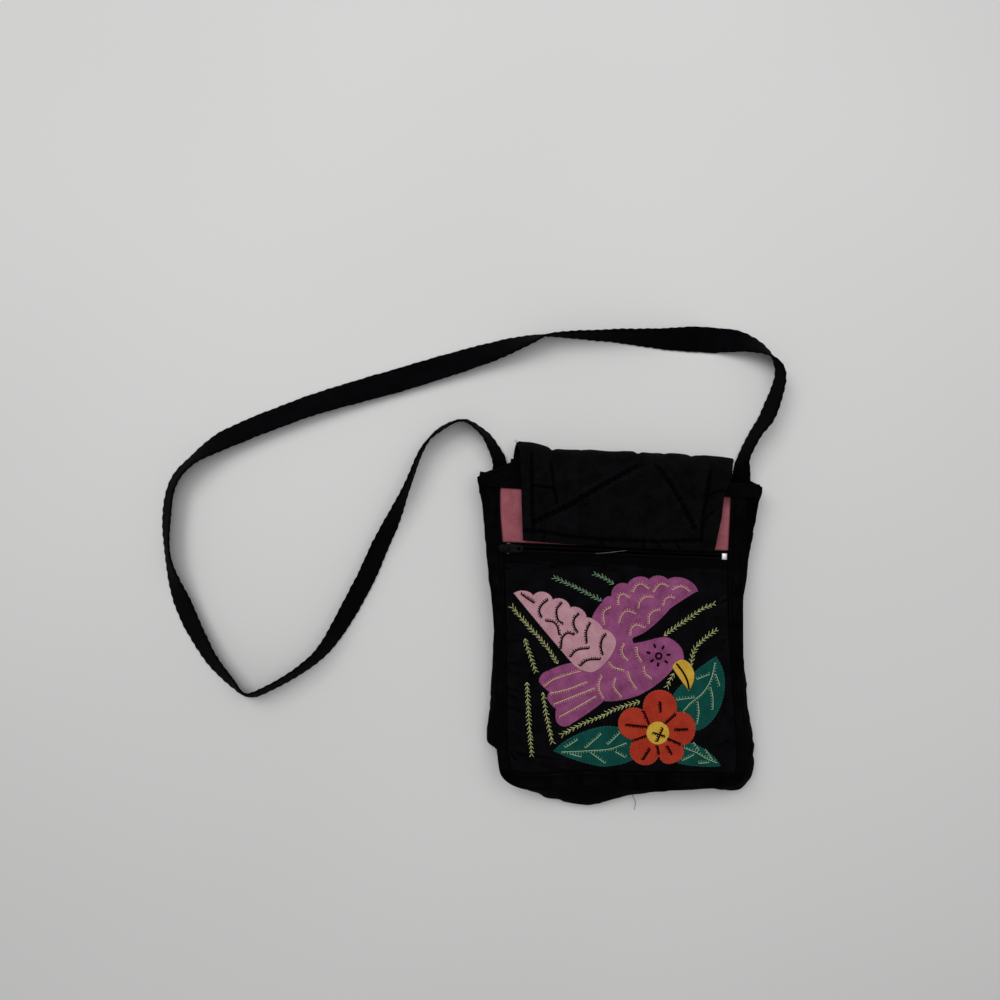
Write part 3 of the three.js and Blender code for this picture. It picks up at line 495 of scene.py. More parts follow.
class Sock:
    """One output of a node; arithmetic on it adds Math nodes to the same tree."""

    def __init__(self, book: "NodeBook", socket: bpy.types.NodeSocket) -> None:
        """Keep the tree and the socket."""
        self.book = book
        self.socket = socket

    def math(self, operation: str, *values: "Sock | float") -> "Sock":
        """A Math node on the given values."""
        return self.book.node("ShaderNodeMath", {"operation": operation}, dict(enumerate(values)))

    def __add__(self, other: "Sock | float") -> "Sock":
        """Sum."""
        return self.math("ADD", self, other)

    def __sub__(self, other: "Sock | float") -> "Sock":
        """Difference."""
        return self.math("SUBTRACT", self, other)

    def __rsub__(self, other: "Sock | float") -> "Sock":
        """Difference from a number."""
        return self.math("SUBTRACT", other, self)

    def __mul__(self, other: "Sock | float") -> "Sock":
        """Product."""
        return self.math("MULTIPLY", self, other)

    __radd__ = __add__

    def sin(self) -> "Sock":
        """Sine."""
        return self.math("SINE", self)

    def size(self) -> "Sock":
        """Absolute value."""
        return self.math("ABSOLUTE", self)

    def most(self, other: "Sock | float") -> "Sock":
        """The larger of two."""
        return self.math("MAXIMUM", self, other)

    def ease(self, low: float, high: float) -> "Sock":
        """Smooth step from 0 at low to 1 at high."""
        limits = {"Value": self, "From Min": low, "From Max": high}
        return self.book.node("ShaderNodeMapRange", {"interpolation_type": "SMOOTHSTEP"}, limits)


class NodeBook:
    """The node tree of one material."""

    def __init__(self, name: str) -> None:
        """Start an empty material."""
        self.material = bpy.data.materials.new(name)
        self.material.use_nodes = True
        self.tree = self.material.node_tree
        self.tree.nodes.clear()

    def node(self, kind: str, settings: dict | None = None, sockets: dict | None = None,
             out: int | str = 0) -> Sock:
        """Add a node.

        Args:
            kind: Node type.
            settings: Properties of the node, set first.
            sockets: Values or links of its inputs, by name or number.
            out: Which output is returned.
        Returns:
            The output, or its first input's stand-in where a node has no output.
        """
        made = self.tree.nodes.new(kind)
        for key, value in (settings or {}).items():
            setattr(made, key, value)
        for key, value in (sockets or {}).items():
            if isinstance(value, Sock):
                self.tree.links.new(value.socket, made.inputs[key])
            else:
                made.inputs[key].default_value = value
        return Sock(self, (made.outputs or made.inputs)[out])

    def cloth_axes(self) -> tuple[Sock, Sock]:
        """The piece's own cloth coordinates, in millimetres along its two threads."""
        uv = self.node("ShaderNodeUVMap", {"uv_map": CLOTH_UV})
        x, y = (self.node("ShaderNodeSeparateXYZ", None, {"Vector": uv}, axis) for axis in "XY")
        return x, y

    def noise(self, x: Sock, y: Sock, detail: float = 2.0) -> Sock:
        """Noise on two coordinates, from 0 to 1."""
        place = self.node("ShaderNodeCombineXYZ", None, {"X": x, "Y": y})
        sockets = {"Vector": place, "Scale": 1.0, "Detail": detail}
        return self.node("ShaderNodeTexNoise", None, sockets, "Fac")

    def object_noise(self, size: float, detail: float = 3.0) -> Sock:
        """Noise on object coordinates, with features of a size in metres."""
        place = self.node("ShaderNodeTexCoord", None, None, "Object")
        sockets = {"Vector": place, "Scale": 1 / size, "Detail": detail}
        return self.node("ShaderNodeTexNoise", None, sockets, "Fac")

    def mix(self, share: Sock, first: Sequence[float] | Sock, second: Sequence[float] | Sock) -> Sock:
        """Colour between two colours."""
        return self.node("ShaderNodeMix", {"data_type": "RGBA"}, {0: share, 6: first, 7: second}, 2)

    def finish(self, height: Sock, relief: float, sockets: dict) -> bpy.types.Material:
        """Close the tree with a bump and the surface shader.

        Args:
            height: Bump height from 0 to 1.
            relief: What a height of 1 is, in metres.
            sockets: The shader's inputs.
        Returns:
            The material.
        """
        bump = self.node("ShaderNodeBump", None, {"Height": height, "Distance": relief})
        shader = self.node("ShaderNodeBsdfPrincipled", None, {**sockets, "Normal": bump})
        self.node("ShaderNodeOutputMaterial", None, {"Surface": shader})
        return self.material


@dataclass(frozen=True)
class Cotton:
    """Plain-weave cotton: crossing threads, slubs, uneven dye and lint, with painted shade in creases and
    painted highlights on ridges.
    """

    name: str
    dye: str
    worn: str
    thread: float = 0.62
    rough: float = 0.9
    gloss: float = 0.1
    nap: float = 0.0
    relief: float = 0.00016
    lint: float = 0.0
    # Colours of the painted highlight on ridges and of the painted shade in creases
    ridge_highlight: str = "1c1c20"
    crease: str = "000000"
    fluff: str = "8a8a88"

    def material(self) -> bpy.types.Material:
        """Weave, slubs and mottling on the piece's cloth coordinates, then the painted shade and painted
        highlights of the point attribute.
        """
        book = NodeBook(self.name)
        x, y = book.cloth_axes()
        pace = TAU / self.thread
        weave = (x * pace).sin() * (y * pace).sin() * 0.5 + 0.5
        slub = book.noise(x * 0.16, y * 1.5) * 0.5 + book.noise(x * 1.5, y * 0.16) * 0.5
        mottle = book.noise(x * 0.09, y * 0.09, 4.0)
        fuzz = book.noise(x * 1.1, y * 1.1, 3.0)
        fade = (slub * 0.9 + mottle * 0.8 + fuzz * 0.5 + weave * 0.15).ease(0.85, 1.45)
        colour = book.mix(fade, linear(self.dye), linear(self.worn))
        if self.lint:
            speck = book.noise(x * 0.55, y * 0.55, 5.0).ease(0.76, 0.82) * self.lint
            colour = book.mix(speck, colour, linear(self.fluff))
        # Painted shade: creases mixed towards black; painted highlight: ridges mixed towards a paler grey
        painted_shading = book.node("ShaderNodeAttribute", {"attribute_name": PAINTED_SHADING}, None, "Fac")
        colour = book.mix(painted_shading, colour, linear(self.crease))
        colour = book.mix(painted_shading * -1.0, colour, linear(self.ridge_highlight))
        rough = self.rough - weave * 0.06 + fuzz * 0.08
        sockets = {"Base Color": colour, "Roughness": rough, "Specular IOR Level": self.gloss,
                   "Sheen Weight": self.nap, "Sheen Roughness": 0.5}
        return book.finish(weave * 0.55 + slub * 0.3 + fuzz * 0.35, self.relief, sockets)


@dataclass(frozen=True)
class Thread:
    """Embroidery thread: two twisted plies with a little lustre."""

    name: str
    dye: str
    worn: str
    gloss: float = 0.25
    twist: float = 0.9
    plies: int = 2

    def material(self) -> bpy.types.Material:
        """Slanted plies round each strand and an uneven dye."""
        book = NodeBook(self.name)
        along, around = book.cloth_axes()
        ply = (along * (TAU / self.twist) + around * (self.plies * TAU)).sin() * 0.5 + 0.5
        fade = (book.object_noise(0.004) * 0.8 + ply * 0.3).ease(0.25, 0.85)
        colour = book.mix(fade, linear(self.dye), linear(self.worn))
        sockets = {"Base Color": colour, "Roughness": 0.75 - ply * 0.2, "Specular IOR Level": self.gloss}
        return book.finish(ply, 0.0001, sockets)


@dataclass(frozen=True)
class Nylon:
    """Moulded zip coil or woven tape: dark, with a faint lustre and scuffs."""

    name: str
    dye: str
    worn: str
    rough: float
    gloss: float

    def material(self) -> bpy.types.Material:
        """Fine scuffs that lighten and roughen the surface."""
        book = NodeBook(self.name)
        scuff = book.object_noise(0.0016, 5.0).ease(0.45, 0.75)
        colour = book.mix(scuff, linear(self.dye), linear(self.worn))
        sockets = {"Base Color": colour, "Roughness": self.rough + scuff * 0.15,
                   "Specular IOR Level": self.gloss}
        return book.finish(scuff, 0.00004, sockets)


@dataclass(frozen=True)
class ZipMetal:
    """Zip metal: paint worn through by a share from 0 to 1, and bare from a distance off the zip's middle,
    where worn flanges also serve as painted glints.
    """

    name: str
    paint: str
    bare: str
    wear: float
    worn_glint_from: float = 100.0
    bare_ease: float = 0.3

    def material(self) -> bpy.types.Material:
        """Chipped paint over brushed metal, bared on the flanges as wear and as painted glints."""
        book = NodeBook(self.name)
        from_zip = book.node("ShaderNodeAttribute", {"attribute_name": ACROSS}, None, "Fac").size()
        chip = book.object_noise(0.0022, 5.0).ease(0.78 - self.wear * 0.6, 0.86 - self.wear * 0.5)
        # Paint bared on the slider's flanges: worn metal, also painted glints
        chip = chip.most(from_zip.ease(self.worn_glint_from, self.worn_glint_from + self.bare_ease))
        grain = book.object_noise(0.0006, 2.0)
        colour = book.mix(chip, linear(self.paint), linear(self.bare))
        rough = 0.44 - chip * 0.16 + grain * 0.08
        sockets = {"Base Color": colour, "Metallic": chip * 0.7, "Roughness": rough,
                   "Specular IOR Level": 0.07}
        return book.finish(grain * 0.4 - chip * 0.5 + 0.5, 0.00005, sockets)


@dataclass(frozen=True)
class Backdrop:
    """Matt pale board with faint cloudy tone."""

    name: str = "pale_board"
    dull: tuple[float, float, float, float] = (0.765, 0.765, 0.76, 1)
    pale: tuple[float, float, float, float] = (0.79, 0.79, 0.785, 1)

    def material(self) -> bpy.types.Material:
        """Broad soft clouds on object coordinates."""
        book = NodeBook(self.name)
        cloud = book.object_noise(0.35, 1.0).ease(0.3, 0.7)
        colour = book.mix(cloud, self.dull, self.pale)
        sockets = {"Base Color": colour, "Roughness": 0.75 + cloud * 0.02, "Specular IOR Level": 0.15}
        return book.finish(cloud, 0.00001, sockets)


BLACK_COTTON = Cotton("black_cotton_weave", "020203", "09090b", nap=0.003, gloss=0.02, lint=0.2)
PANEL_COTTON = Cotton("black_panel_weave", "030304", "0e0e11", nap=0.004, gloss=0.03, lint=0.3,
                      relief=0.00024)
# A darker copy of the black cotton: painted shade for the side walls
SHADED_GUSSET_COTTON = Cotton("black_gusset_painted_shade", "010102", "050506", nap=0.002, gloss=0.02)
FLAP_COTTON = Cotton("black_flap_weave", "030304", "0e0e10", nap=0.004, gloss=0.03, lint=0.4, relief=0.0003)
BINDING = Cotton("black_binding_weave", "010102", "09090b", nap=0.003, gloss=0.025, lint=0.2, relief=0.00026)
STRAP_COTTON = Cotton("black_strap_weave", "020203", "08080b", nap=0.004, gloss=0.03, relief=0.00028)
PINK_COTTON = Cotton("dusty_pink_weave", "8c4a54", "a5606a", relief=0.0002)
PURPLE_COTTON = Cotton("plum_weave", "72365c", "9c5482")
ROSE_COTTON = Cotton("rose_weave", "ac7c88", "c999a3")
RED_COTTON = Cotton("brick_red_weave", "962818", "b43c28")
YELLOW_COTTON = Cotton("corn_yellow_weave", "c0962a", "d8b248")
TEAL_COTTON = Cotton("teal_weave", "043a34", "0f4f47")
TAPE_NYLON = Nylon("tape_nylon_weave", "030304", "070708", 0.85, 0.03)
COIL_NYLON = Nylon("coil_nylon_gloss", "050506", "0c0c0e", 0.45, 0.12)
# Its flanges bared: worn metal, also painted glints
BLACK_PAINT = ZipMetal("slider_paint_chips_and_glints", "040405", "e6e7e5", 0.04, 3.45)
BRIGHT_METAL = ZipMetal("stop_bright", "8d8d8a", "e4e4e2", 0.9)


class Tone(Enum):
    """Thread colours of the stitching."""

    CREAM = Thread("thread_cream", "dab47c", "f8e0b2")
    DARK = Thread("thread_dark", "050102", "0c0406", 0.04)
    LIME = Thread("thread_lime", "c0c66e", "e8ecb0")
    GREEN = Thread("thread_green", "6ea078", "a6caa2")
    VEIN = Thread("thread_vein", "9cc490", "d0eac4")
    TEAL = Thread("thread_teal", "1c5a50", "4c8074")
    RED = Thread("thread_red", "a84a38", "c07a66")
    ROSE = Thread("thread_rose", "c39aa2", "d9b6bb")
    PLUM = Thread("thread_plum", "7e4468", "a06f92")
    CORN = Thread("thread_corn", "b98f3a", "d2b064")
    BLACK = Thread("thread_black", "020203", "070708", 0.04)
    PALE = Thread("thread_pale", "6c6c68", "9a9a94", 0.1)


class SoftLight(NamedTuple):
    """A square soft light: where it hangs and looks in metres, its width and its power."""

    name: str
    place: tuple[float, float, float]
    aim: tuple[float, float, float]
    size: float
    power: float


@dataclass
class Studio:
    """Pale floor, soft light and the camera above the bag; sizes in metres."""

    floor_half: float = 4.0
    floor_drop: float = 0.0004
    floor_points: int = 9
    surround: float = 0.28
    key: SoftLight = SoftLight("key_light", (-0.93, 0.94, 1.62), (-0.02, 0.12, 0), 1.05, 13.6)
    fill: SoftLight = SoftLight("fill_light", (0.15, 0.38, 1.0), (-0.02, 0.2, 0), 0.9, 3.7)

    def build(self) -> None:
        """Make the camera, lights, floor and surround."""
        self.camera()
        self.floor()
        self.lights()

    def camera(self) -> None:
        """Camera at the photograph's place and lens."""
        data = bpy.data.cameras.new("photo_camera")
        data.sensor_width = PHOTO.sensor
        data.lens = PHOTO.focal / PHOTO.frame * PHOTO.sensor
        camera = bpy.data.objects.new("photo_camera", data)
        camera.location = [part * MM for part in PHOTO.eye]
        camera.rotation_euler = (0, 0, PHOTO.turn)
        bpy.context.scene.collection.objects.link(camera)
        bpy.context.scene.camera = camera

    def floor(self) -> None:
        """A flat board, given as a grid of two parameters, under everything."""
        at = np.linspace(-self.floor_half, self.floor_half, self.floor_points)
        x, y = np.meshgrid(at, at, indexing="ij")
        points = np.stack([x, y, np.full_like(x, -self.floor_drop)], axis=-1).reshape(-1, 3)
        mesh = bpy.data.meshes.new("floor")
        mesh.from_pydata(points.tolist(), [], quads(self.floor_points, self.floor_points).tolist())
        mesh.materials.append(Backdrop().material())
        board = bpy.data.objects.new("floor", mesh)
        bpy.context.scene.collection.objects.link(board)

    def lights(self) -> None:
        """A broad key from the upper left, a weak fill and an even surround."""
        scene = bpy.context.scene
        scene.view_settings.view_transform = "Standard"
        world = bpy.data.worlds.new("surround")
        world.use_nodes = True
        sky = world.node_tree.nodes["Background"].inputs
        sky["Color"].default_value = (1.0, 1.0, 1.0, 1)
        sky["Strength"].default_value = self.surround
        scene.world = world
        self.hang(self.key)
        self.hang(self.fill)

    def hang(self, light: SoftLight) -> None:
        """Hang one soft light and turn it to its aim."""
        data = bpy.data.lights.new(light.name, "AREA")
        data.size, data.energy = light.size, light.power
        lamp = bpy.data.objects.new(light.name, data)
        lamp.location = light.place
        way = np.subtract(light.aim, light.place)
        flat = math.hypot(way[0], way[1])
        lamp.rotation_euler = (math.pi / 2 - math.atan2(-way[2], flat), 0, math.atan2(-way[0], way[1]))
        bpy.context.scene.collection.objects.link(lamp)


@dataclass
class Strap:
    """Folded cotton band, lying free on the floor between its two seams."""

    wide: float = 18.5
    thick: float = 1.6
    end_wide: float = 12.4
    end_lift: float = 2.3
    end_held: float = 12.0
    end_run: float = 34.0
    length: float = 1040.0
    rings: int = 560
    floor_clear: float = 0.05
    slack_run: float = 1200.0
    slack_pitch: float = 13.0
    stitch_at: float = 0.41
    stitch_sunk: float = 0.38
    stitch_pitch: float = 3.0
    stitch_gap: float = 0.12
    stitch_radius: float = 0.2
    across: tuple[float, ...] = (-0.5, -0.485, -0.455, -0.42, -0.395, -0.37, -0.25, 0,
                                 0.25, 0.37, 0.395, 0.42, 0.455, 0.485, 0.5)

    def frames(self) -> tuple[Array, Array, Array, Array]:
        """Centre, crosswise direction, facing and width along the route.

        Returns:
            Arrays of one row a ring; the crosswise direction is turned about the run by the route's roll.
        """
        route = Spline(np.array(STRAP_ROUTE, float))
        share = np.linspace(0, 1, 6000)
        length = run_lengths(route.at(share)[:, :2])
        share = np.interp(np.linspace(0, length[-1], self.rings), length, share)
        row = route.at(share)
        level = np.zeros(self.rings)
        run = unit(np.column_stack([route.ahead(share)[:, :2], level]))
        roll = np.radians(row[:, 2])
        side = np.column_stack([left_of(run), level])
        cross = side * np.cos(roll)[:, None] + np.array([0, 0, 1.0]) * np.sin(roll)[:, None]
        ends = np.linalg.norm(row[:, None, :2] - row[[0, -1], :2], axis=2).min(1)
        free = smooth(self.end_held, self.end_held + self.end_run, ends)
        wide = self.end_wide + (self.wide - self.end_wide) * free
        rest = np.abs(np.sin(roll)) * wide / 2 + np.abs(np.cos(roll)) * self.thick / 2
        centre = np.column_stack([row[:, :2], rest + self.end_lift * (1 - free)])
        return centre, cross, np.cross(run, cross), wide

    def build(self) -> None:
        """Carry the band's profile along its route: a flat fold, dented and puckered along its stitches."""
        centre, cross, face, wide = self.frames()
        share = np.array(self.across)
        length = run_lengths(centre)[:, None]
        edge = smooth(0.3, 0.5, np.abs(share))
        draw = np.random.default_rng(5)
        knots = np.arange(0, self.slack_run, self.slack_pitch)
        wander = np.interp(length[:, 0], knots, draw.normal(0, 0.22, len(knots)))[:, None]
        pucker = edge * (0.32 * np.sin(TAU * length / 6.1 + 3 * np.sign(share)) + wander)
        half = self.thick / 2 * (1 - 0.5 * smooth(0.44, 0.5, np.abs(share)))
        dent = 0.22 * bell(np.abs(share), self.stitch_at, 0.02)
        ripple = 1 + 0.012 * np.sin(TAU * length / 17 + 1.3) + 0.008 * np.sin(TAU * length / 7.3)
        spread = (share * wide[:, None] * ripple)[..., None] * cross[:, None]
        middle = centre[:, None] + spread + pucker[..., None] * face[:, None]
        offset = (half - dent)[None, :, None] * face[:, None]
        top, under = middle + offset, middle - offset
        top[..., 2] = np.maximum(top[..., 2], self.floor_clear)
        under[..., 2] = np.maximum(under[..., 2], self.floor_clear)
        piece = add_piece("strap_band", Surface.shell(top, under), STRAP_COTTON.material())
        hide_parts("strap")
        path = (centre * MM).tolist()
        stitches = self.stitch(centre, cross, face, wide)

    def stitch(self, centre: Array, cross: Array, face: Array, wide: Array) -> bpy.types.Object:
        """Black running stitches along both edges, on both faces."""
        lines = [centre + cross * (edge * wide)[:, None] + face * (side * self.thick * self.stitch_sunk)
                 for edge in (-self.stitch_at, self.stitch_at) for side in (-1, 1)]
        pairs = running(lines, self.stitch_pitch, self.stitch_gap)
        tubes = stitch_tubes(*pairs, self.stitch_radius, lift=0.0)
        return add_piece("strap_stitches", tubes, Tone.BLACK.value.material())


def running(lines: Iterable[Array], pitch: float, gap: float) -> tuple[Array, Array]:
    """Starts and ends of running stitches along lines of points.

    Args:
        lines: Lines of points in plan or in space.
        pitch: Distance from stitch to stitch.
        gap: Share of the pitch that is bare before and after each stitch.
    Returns:
        Starts and ends, a row a stitch.
    """
    starts, ends = [], []
    for line in lines:
        path = even_path(line, pitch)
        starts.append(path[:-1] * (1 - gap) + path[1:] * gap)
        ends.append(path[:-1] * gap + path[1:] * (1 - gap))
    return np.vstack(starts), np.vstack(ends)


def stitch_tubes(start: Array, end: Array, radius: float | Array, lift: float, sides: int = 5) -> Surface:
    """Small strands between pairs of points: round in section, thickest in the middle, dipping at both ends.

    Args:
        start, end: (n, 3) each.
        radius: Strand radius, one or (n,).
        lift: Height that the middle rises by and the ends dip by, about.
        sides: Sides of a strand.
    Returns:
        One closed tube for each pair.
    """
    share = np.array([0.0, 0.16, 0.5, 0.84, 1.0])
    swell = np.array([0.45, 0.92, 1.0, 0.92, 0.45])
    rise = np.array([-0.9, 0.25, 0.6, 0.25, -0.9])
    run = unit(end - start)
    steep = np.abs(run[:, 2:]) > 0.9
    side = unit(np.cross(run, np.where(steep, [[1.0, 0, 0]], [[0, 0, 1.0]])))
    line = start[:, None] + share[:, None] * (end - start)[:, None] + rise[:, None] * np.array([0, 0, lift])
    thick = np.broadcast_to(radius, len(start))[:, None] * swell
    return Surface.tubes(hoops(line, side[:, None], np.cross(side, run)[:, None], thick, sides))


def strand(path: Array, radius: float, rings: int = 28, sides: int = 6) -> Surface:
    """A round profile carried along a smooth path, tapering to its ends."""
    share = np.linspace(0, 1, rings)
    line = Spline(path).at(share)
    run = headings(line)
    side = unit(np.cross(run, [0, 0, 1.0]) + TINY)
    thick = radius * (0.35 + 0.65 * np.sin(np.pi * share) ** 0.3)
    return Surface.tubes(hoops(line, side, np.cross(side, run), thick, sides)[None])


def coons(left: Array, right: Array, top: Array, bottom: Array) -> Array:
    """A sheet spanned by four edges: the sum of the two ruled sheets less the one through the corners.

    Args:
        left, right: Points downwards, (m, 2).
        top, bottom: Points to the right, (n, 2).
    Returns:
        Points, (n, m, 2).
    """
    s = np.linspace(0, 1, len(top))[:, None, None]
    t = np.linspace(0, 1, len(left))[None, :, None]
    ruled = (1 - s) * left[None] + s * right[None] + (1 - t) * top[:, None] + t * bottom[:, None]
    corners = (1 - s) * ((1 - t) * top[0] + t * bottom[0]) + s * ((1 - t) * top[-1] + t * bottom[-1])
    return ruled - corners


def resample(path: Array, count: int) -> Array:
    """The same line in plan with a count of points, closer at its ends."""
    fine = even_path(path, 0.2)
    at, even = end_shares(count, 0.6), np.linspace(0, 1, len(fine))
    return np.stack([np.interp(at, even, fine[:, axis]) for axis in (0, 1)], axis=1)


def flat_sheet(plan: Array, low: float, high: float, relief: Array, soften: float,
               painted_shading: Array | float = 0.0) -> Surface:
    """A flat cloth with rounded edges: its two faces close in on each other as an ellipse at the rim.

    Args:
        plan: X and Y of a grid, (n, m, 2).
        low, high: Heights of its two faces.
        relief: Height added to both faces, (n, m).
        soften: How far in from the rim the rounding reaches.
        painted_shading: Painted shading of each point, from -1 for a painted highlight on ridges to 1 for
            painted shade in creases.
    Returns:
        A closed surface, with painted shade along its rim as at a seam.
    """
    away, _ = path_distance(plan.reshape(-1, 2), grid_rim(plan))
    share = np.clip(away.reshape(plan.shape[:2]) / soften, 0, 1)
    full = np.sqrt(np.maximum(1 - (1 - share) ** 2, 0.04))
    middle, half = (low + high) / 2, (high - low) / 2
    inner = relief * smooth(0, 1, share)
    top = np.dstack([plan, middle + half * full + inner])
    # Painted shade in a band along the rim, as at a seam, over the painted shading given
    shade = np.where(share < 0.98, np.maximum(painted_shading, 0.7 * (1 - share)), painted_shading)
    return Surface.shell(top, np.dstack([plan, middle - half * full + inner]), shade)


def panel_relief(x: Array, y: Array) -> Array:
    """Unevenness of the front field: slack folds along its sides and its foot, and puckers under the zip."""
    slack = folds(x, y, 30, (-86, -64, -100, 10), 0.9, 11, -0.15) * smooth(-58, -70, x)
    slack = slack + folds(x, y, 16, (-70, 80, -104, -92), 0.5, 12, 0.1)
    slack = slack + folds(x, y, 12, (62, 80, -90, 30), 0.5, 13, 0.2) * smooth(58, 68, x)
    pucker = folds(x, y, 70, (-80, 78, PANEL_TOP_Y - 5, PANEL_TOP_Y + 1), 0.6, 14, 0.3)
    return np.clip(slack, -0.7, 0.9) + np.clip(pucker, -0.5, 0.5) * smooth(11, 3, PANEL_TOP_Y - y)


@dataclass
class Body:
    """Side wall, back, front field, binding, pink strip and hem; words are photo points."""

    steps: int = 420
    wall_rows: int = 26
    wall_deep: float = 26.0
    wall_loose: float = 0.8
    wall_tension: float = 0.3
    crumple_limits: tuple[float, float] = (-0.9, 1.1)
    back_low: float = 0.12
    back_margin: float = 3.0
    back_top_y: float = 121.0
    field_gap: float = 0.3
    layer_gap: float = 0.1
    binding_wide: float = 12.5
    binding_over: float = 0.6
    binding_across: tuple[float, ...] = (0, 0.03, 0.08, 0.14, 0.2, 0.27, 0.4, 0.5, 0.6, 0.7, 0.78, 0.85,
                                         0.92, 0.97, 1.0)
    binding_rows: tuple[float, float] = (0.2, 0.85)
    hem_x: tuple[float, float] = (-104.0, 96.0)
    hem_y: tuple[float, float] = (98.5, 107.0)
    hem_z: float = 23.6
    hem_turn: float = 0.95
    hem_wide: float = 11.5
    hem_thick: float = 1.0
    hem_inside_z: tuple[float, float] = (22.4, 21.2)
    hem_seam: tuple[float, float] = (100.3, 24.05)
    hem_droop: tuple[float, float] = (1.6, 3.2)
    hem_ear: float = 1.6
    yoke_short: float = 0.4
    stitch_pitch: float = 3.1
    stitch_gap: float = 0.14
    stitch_radius: float = 0.22
    stitch_lift: float = 0.16
    fold_wide: float = 34.0
    fold_deep: float = 20.0
    fold_near: str = "479.6,475.6 500,475 523,474.6"
    fold_near_z: float = 22.3
    fold_far: str = "479.4,474.9 495,469 507,464 523,458.5"
    fold_heights: tuple[float, ...] = (21.4, 18.5, 16.5, 14.0)
    fold_thick: float = 1.0
    fold_dip: float = 0.55
    crease_half: float = 0.85
    crest_off: float = 1.9
    creases: tuple[str, ...] = (
        "505,640.5 514,641 523,642", "506,662.5 517,664 527,665.7", "536,661 543,663",
        "505,667.5 512.3,672.4 521.8,674.3 528.5,673.8", "506,687.5 517,690.5 523,693.8",
        "506,693 515,698 521,701", "506,705 515,709 523.7,713 533,715.2 540,716.7", "534,732 544,732",
        "515,752.3 524.7,754.8 534,756.2 545.6,757.1 560,761", "510,751 512.5,755 515.1,759 521,763",
        "505,561.8 525,562.5 545,564", "506,568.4 514,568.8", "556,562.5 580,565 604,565.6",
        "640,567 670,569 690,569.4", "560,770 600,773.5 640,774 680,773", "590,777.5 630,778.5 660,777",
        "725,640 718,646", "727,700 720,705", "728,740 718,748", "726,600 719,604")
    seam_curve: Spline = field(default=None, repr=False)
    fold_columns: Spline = field(default=None, repr=False)
    back_columns: Spline = field(default=None, repr=False)

    def __post_init__(self) -> None:
        """Curves through the section table."""
        x, y, border, fold, fold_z, back, rise = np.array(BODY, float).T
        self.seam_curve = Spline(np.column_stack([x, y]))
        self.fold_columns = Spline(np.column_stack([fold, fold_z, border]), self.wall_tension)
        self.back_columns = Spline(np.column_stack([back, rise]), self.wall_tension)

    def seam(self, share: Array, outward: Array | float) -> Array:
        """Points at a distance outside the front seam."""
        out = -left_of(self.seam_curve.run(share))
        return self.seam_curve.at(share) + out * np.asarray(outward)[..., None]

    def back_seam(self, share: Array, margin: float) -> Array:
        """Points at a margin outside the back seam."""
        back = self.back_columns.at(share)
        point = self.seam(share, back[..., 0] + margin)
        point[..., 1] += back[..., 1]
        return point

    def back_edge(self, share: Array) -> Array:
        """The edge of the back sheet, a seam's width outside the wall."""
        return self.back_seam(share, self.back_margin)

    def field_edge(self, share: Array) -> Array:
        """The edge just inside the binding."""
        return self.seam(share, -self.fold_columns.at(share)[..., 2] - self.field_gap)

    def build(self) -> None:
        """Make every sewn sheet of the body."""
        self.gusset()
        self.back()
        self.front()
        self.binding()
        self.yoke()
        self.hem()
        self.mouth_fold()

    def wall(self, u: Array, v: Array) -> Array:
        """Side wall: a quadratic curve from the front seam through the fold to the back seam."""
        columns = self.fold_columns.at(u)
        front = np.concatenate([self.seam(u, 0.0), np.full((*u.shape, 1), WALL_FRONT_Z)], axis=-1)
        back = np.concatenate([self.back_seam(u, 0), np.full((*u.shape, 1), WALL_BACK_Z)], axis=-1)
        fold = np.concatenate([self.seam(u, columns[..., 0]), columns[..., 1:2]], axis=-1)
        pull = 2 * fold - 0.5 * front - 0.5 * back
        w = v[..., None]
        return (1 - w) ** 2 * front + 2 * w * (1 - w) * pull + w**2 * back

    def gusset(self) -> None:
        """Folded side strip with crumples that die out at its two seams."""
        u, v = np.meshgrid(np.linspace(0, 1, self.steps), np.linspace(0, 1, self.wall_rows), indexing="ij")
        middle = self.wall(u, v)
        length = run_lengths(middle[:, self.wall_rows // 2 - 1])[:, None] + 0 * v
        full = float(length.max())
        down = v * self.wall_deep
        crumple = folds(length, down, 150, (0, full, 3, 23), 0.75, 21, 1.0)
        crumple = crumple + folds(length, down, 46, (full * 0.34, full * 0.66, 3, 23), 0.7, 22, 0.3)
        still = smooth(0, 0.18, v) * smooth(0, 0.2, 1 - v)
        middle = middle + normals(middle) * (np.clip(crumple, *self.crumple_limits) * still)[..., None]
        surface = Surface.cloth(middle, WALL_THICK * self.wall_loose)
        # The side wall takes the darker cotton, its shade painted into the colour
        piece = add_piece("gusset_cloth", surface, SHADED_GUSSET_COTTON.material())
        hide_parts("gusset")

    def spanned(self, top: Array, shares: Sequence[float], edge: Callable[[Array], Array], columns: int,
                rows: int) -> Array:
        """A sheet between a top line and an edge that runs down the left, along the foot and up the right.

        Args:
            top: Points of the top line, (n, 2).
            shares: Shares along the edge at its left end, its two corners and its right end.
            edge: Points of the edge at shares.
            columns, rows: Size of the grid.
        Returns:
            Points, (columns, rows, 2).
        """
        ease = end_shares(2001, 1.0)
        start, left_corner, right_corner, end = shares
        left = even_path(edge(start + (left_corner - start) * ease), 0.5)
        foot = even_path(edge(left_corner + (right_corner - left_corner) * ease), 0.5)
        right = even_path(edge(end + (right_corner - end) * ease), 0.5)
        sides = [resample(np.vstack(pair), rows) for pair in ((top[:1], left), (top[-1:], right))]
        return coons(*sides, resample(top, columns), resample(foot, columns))

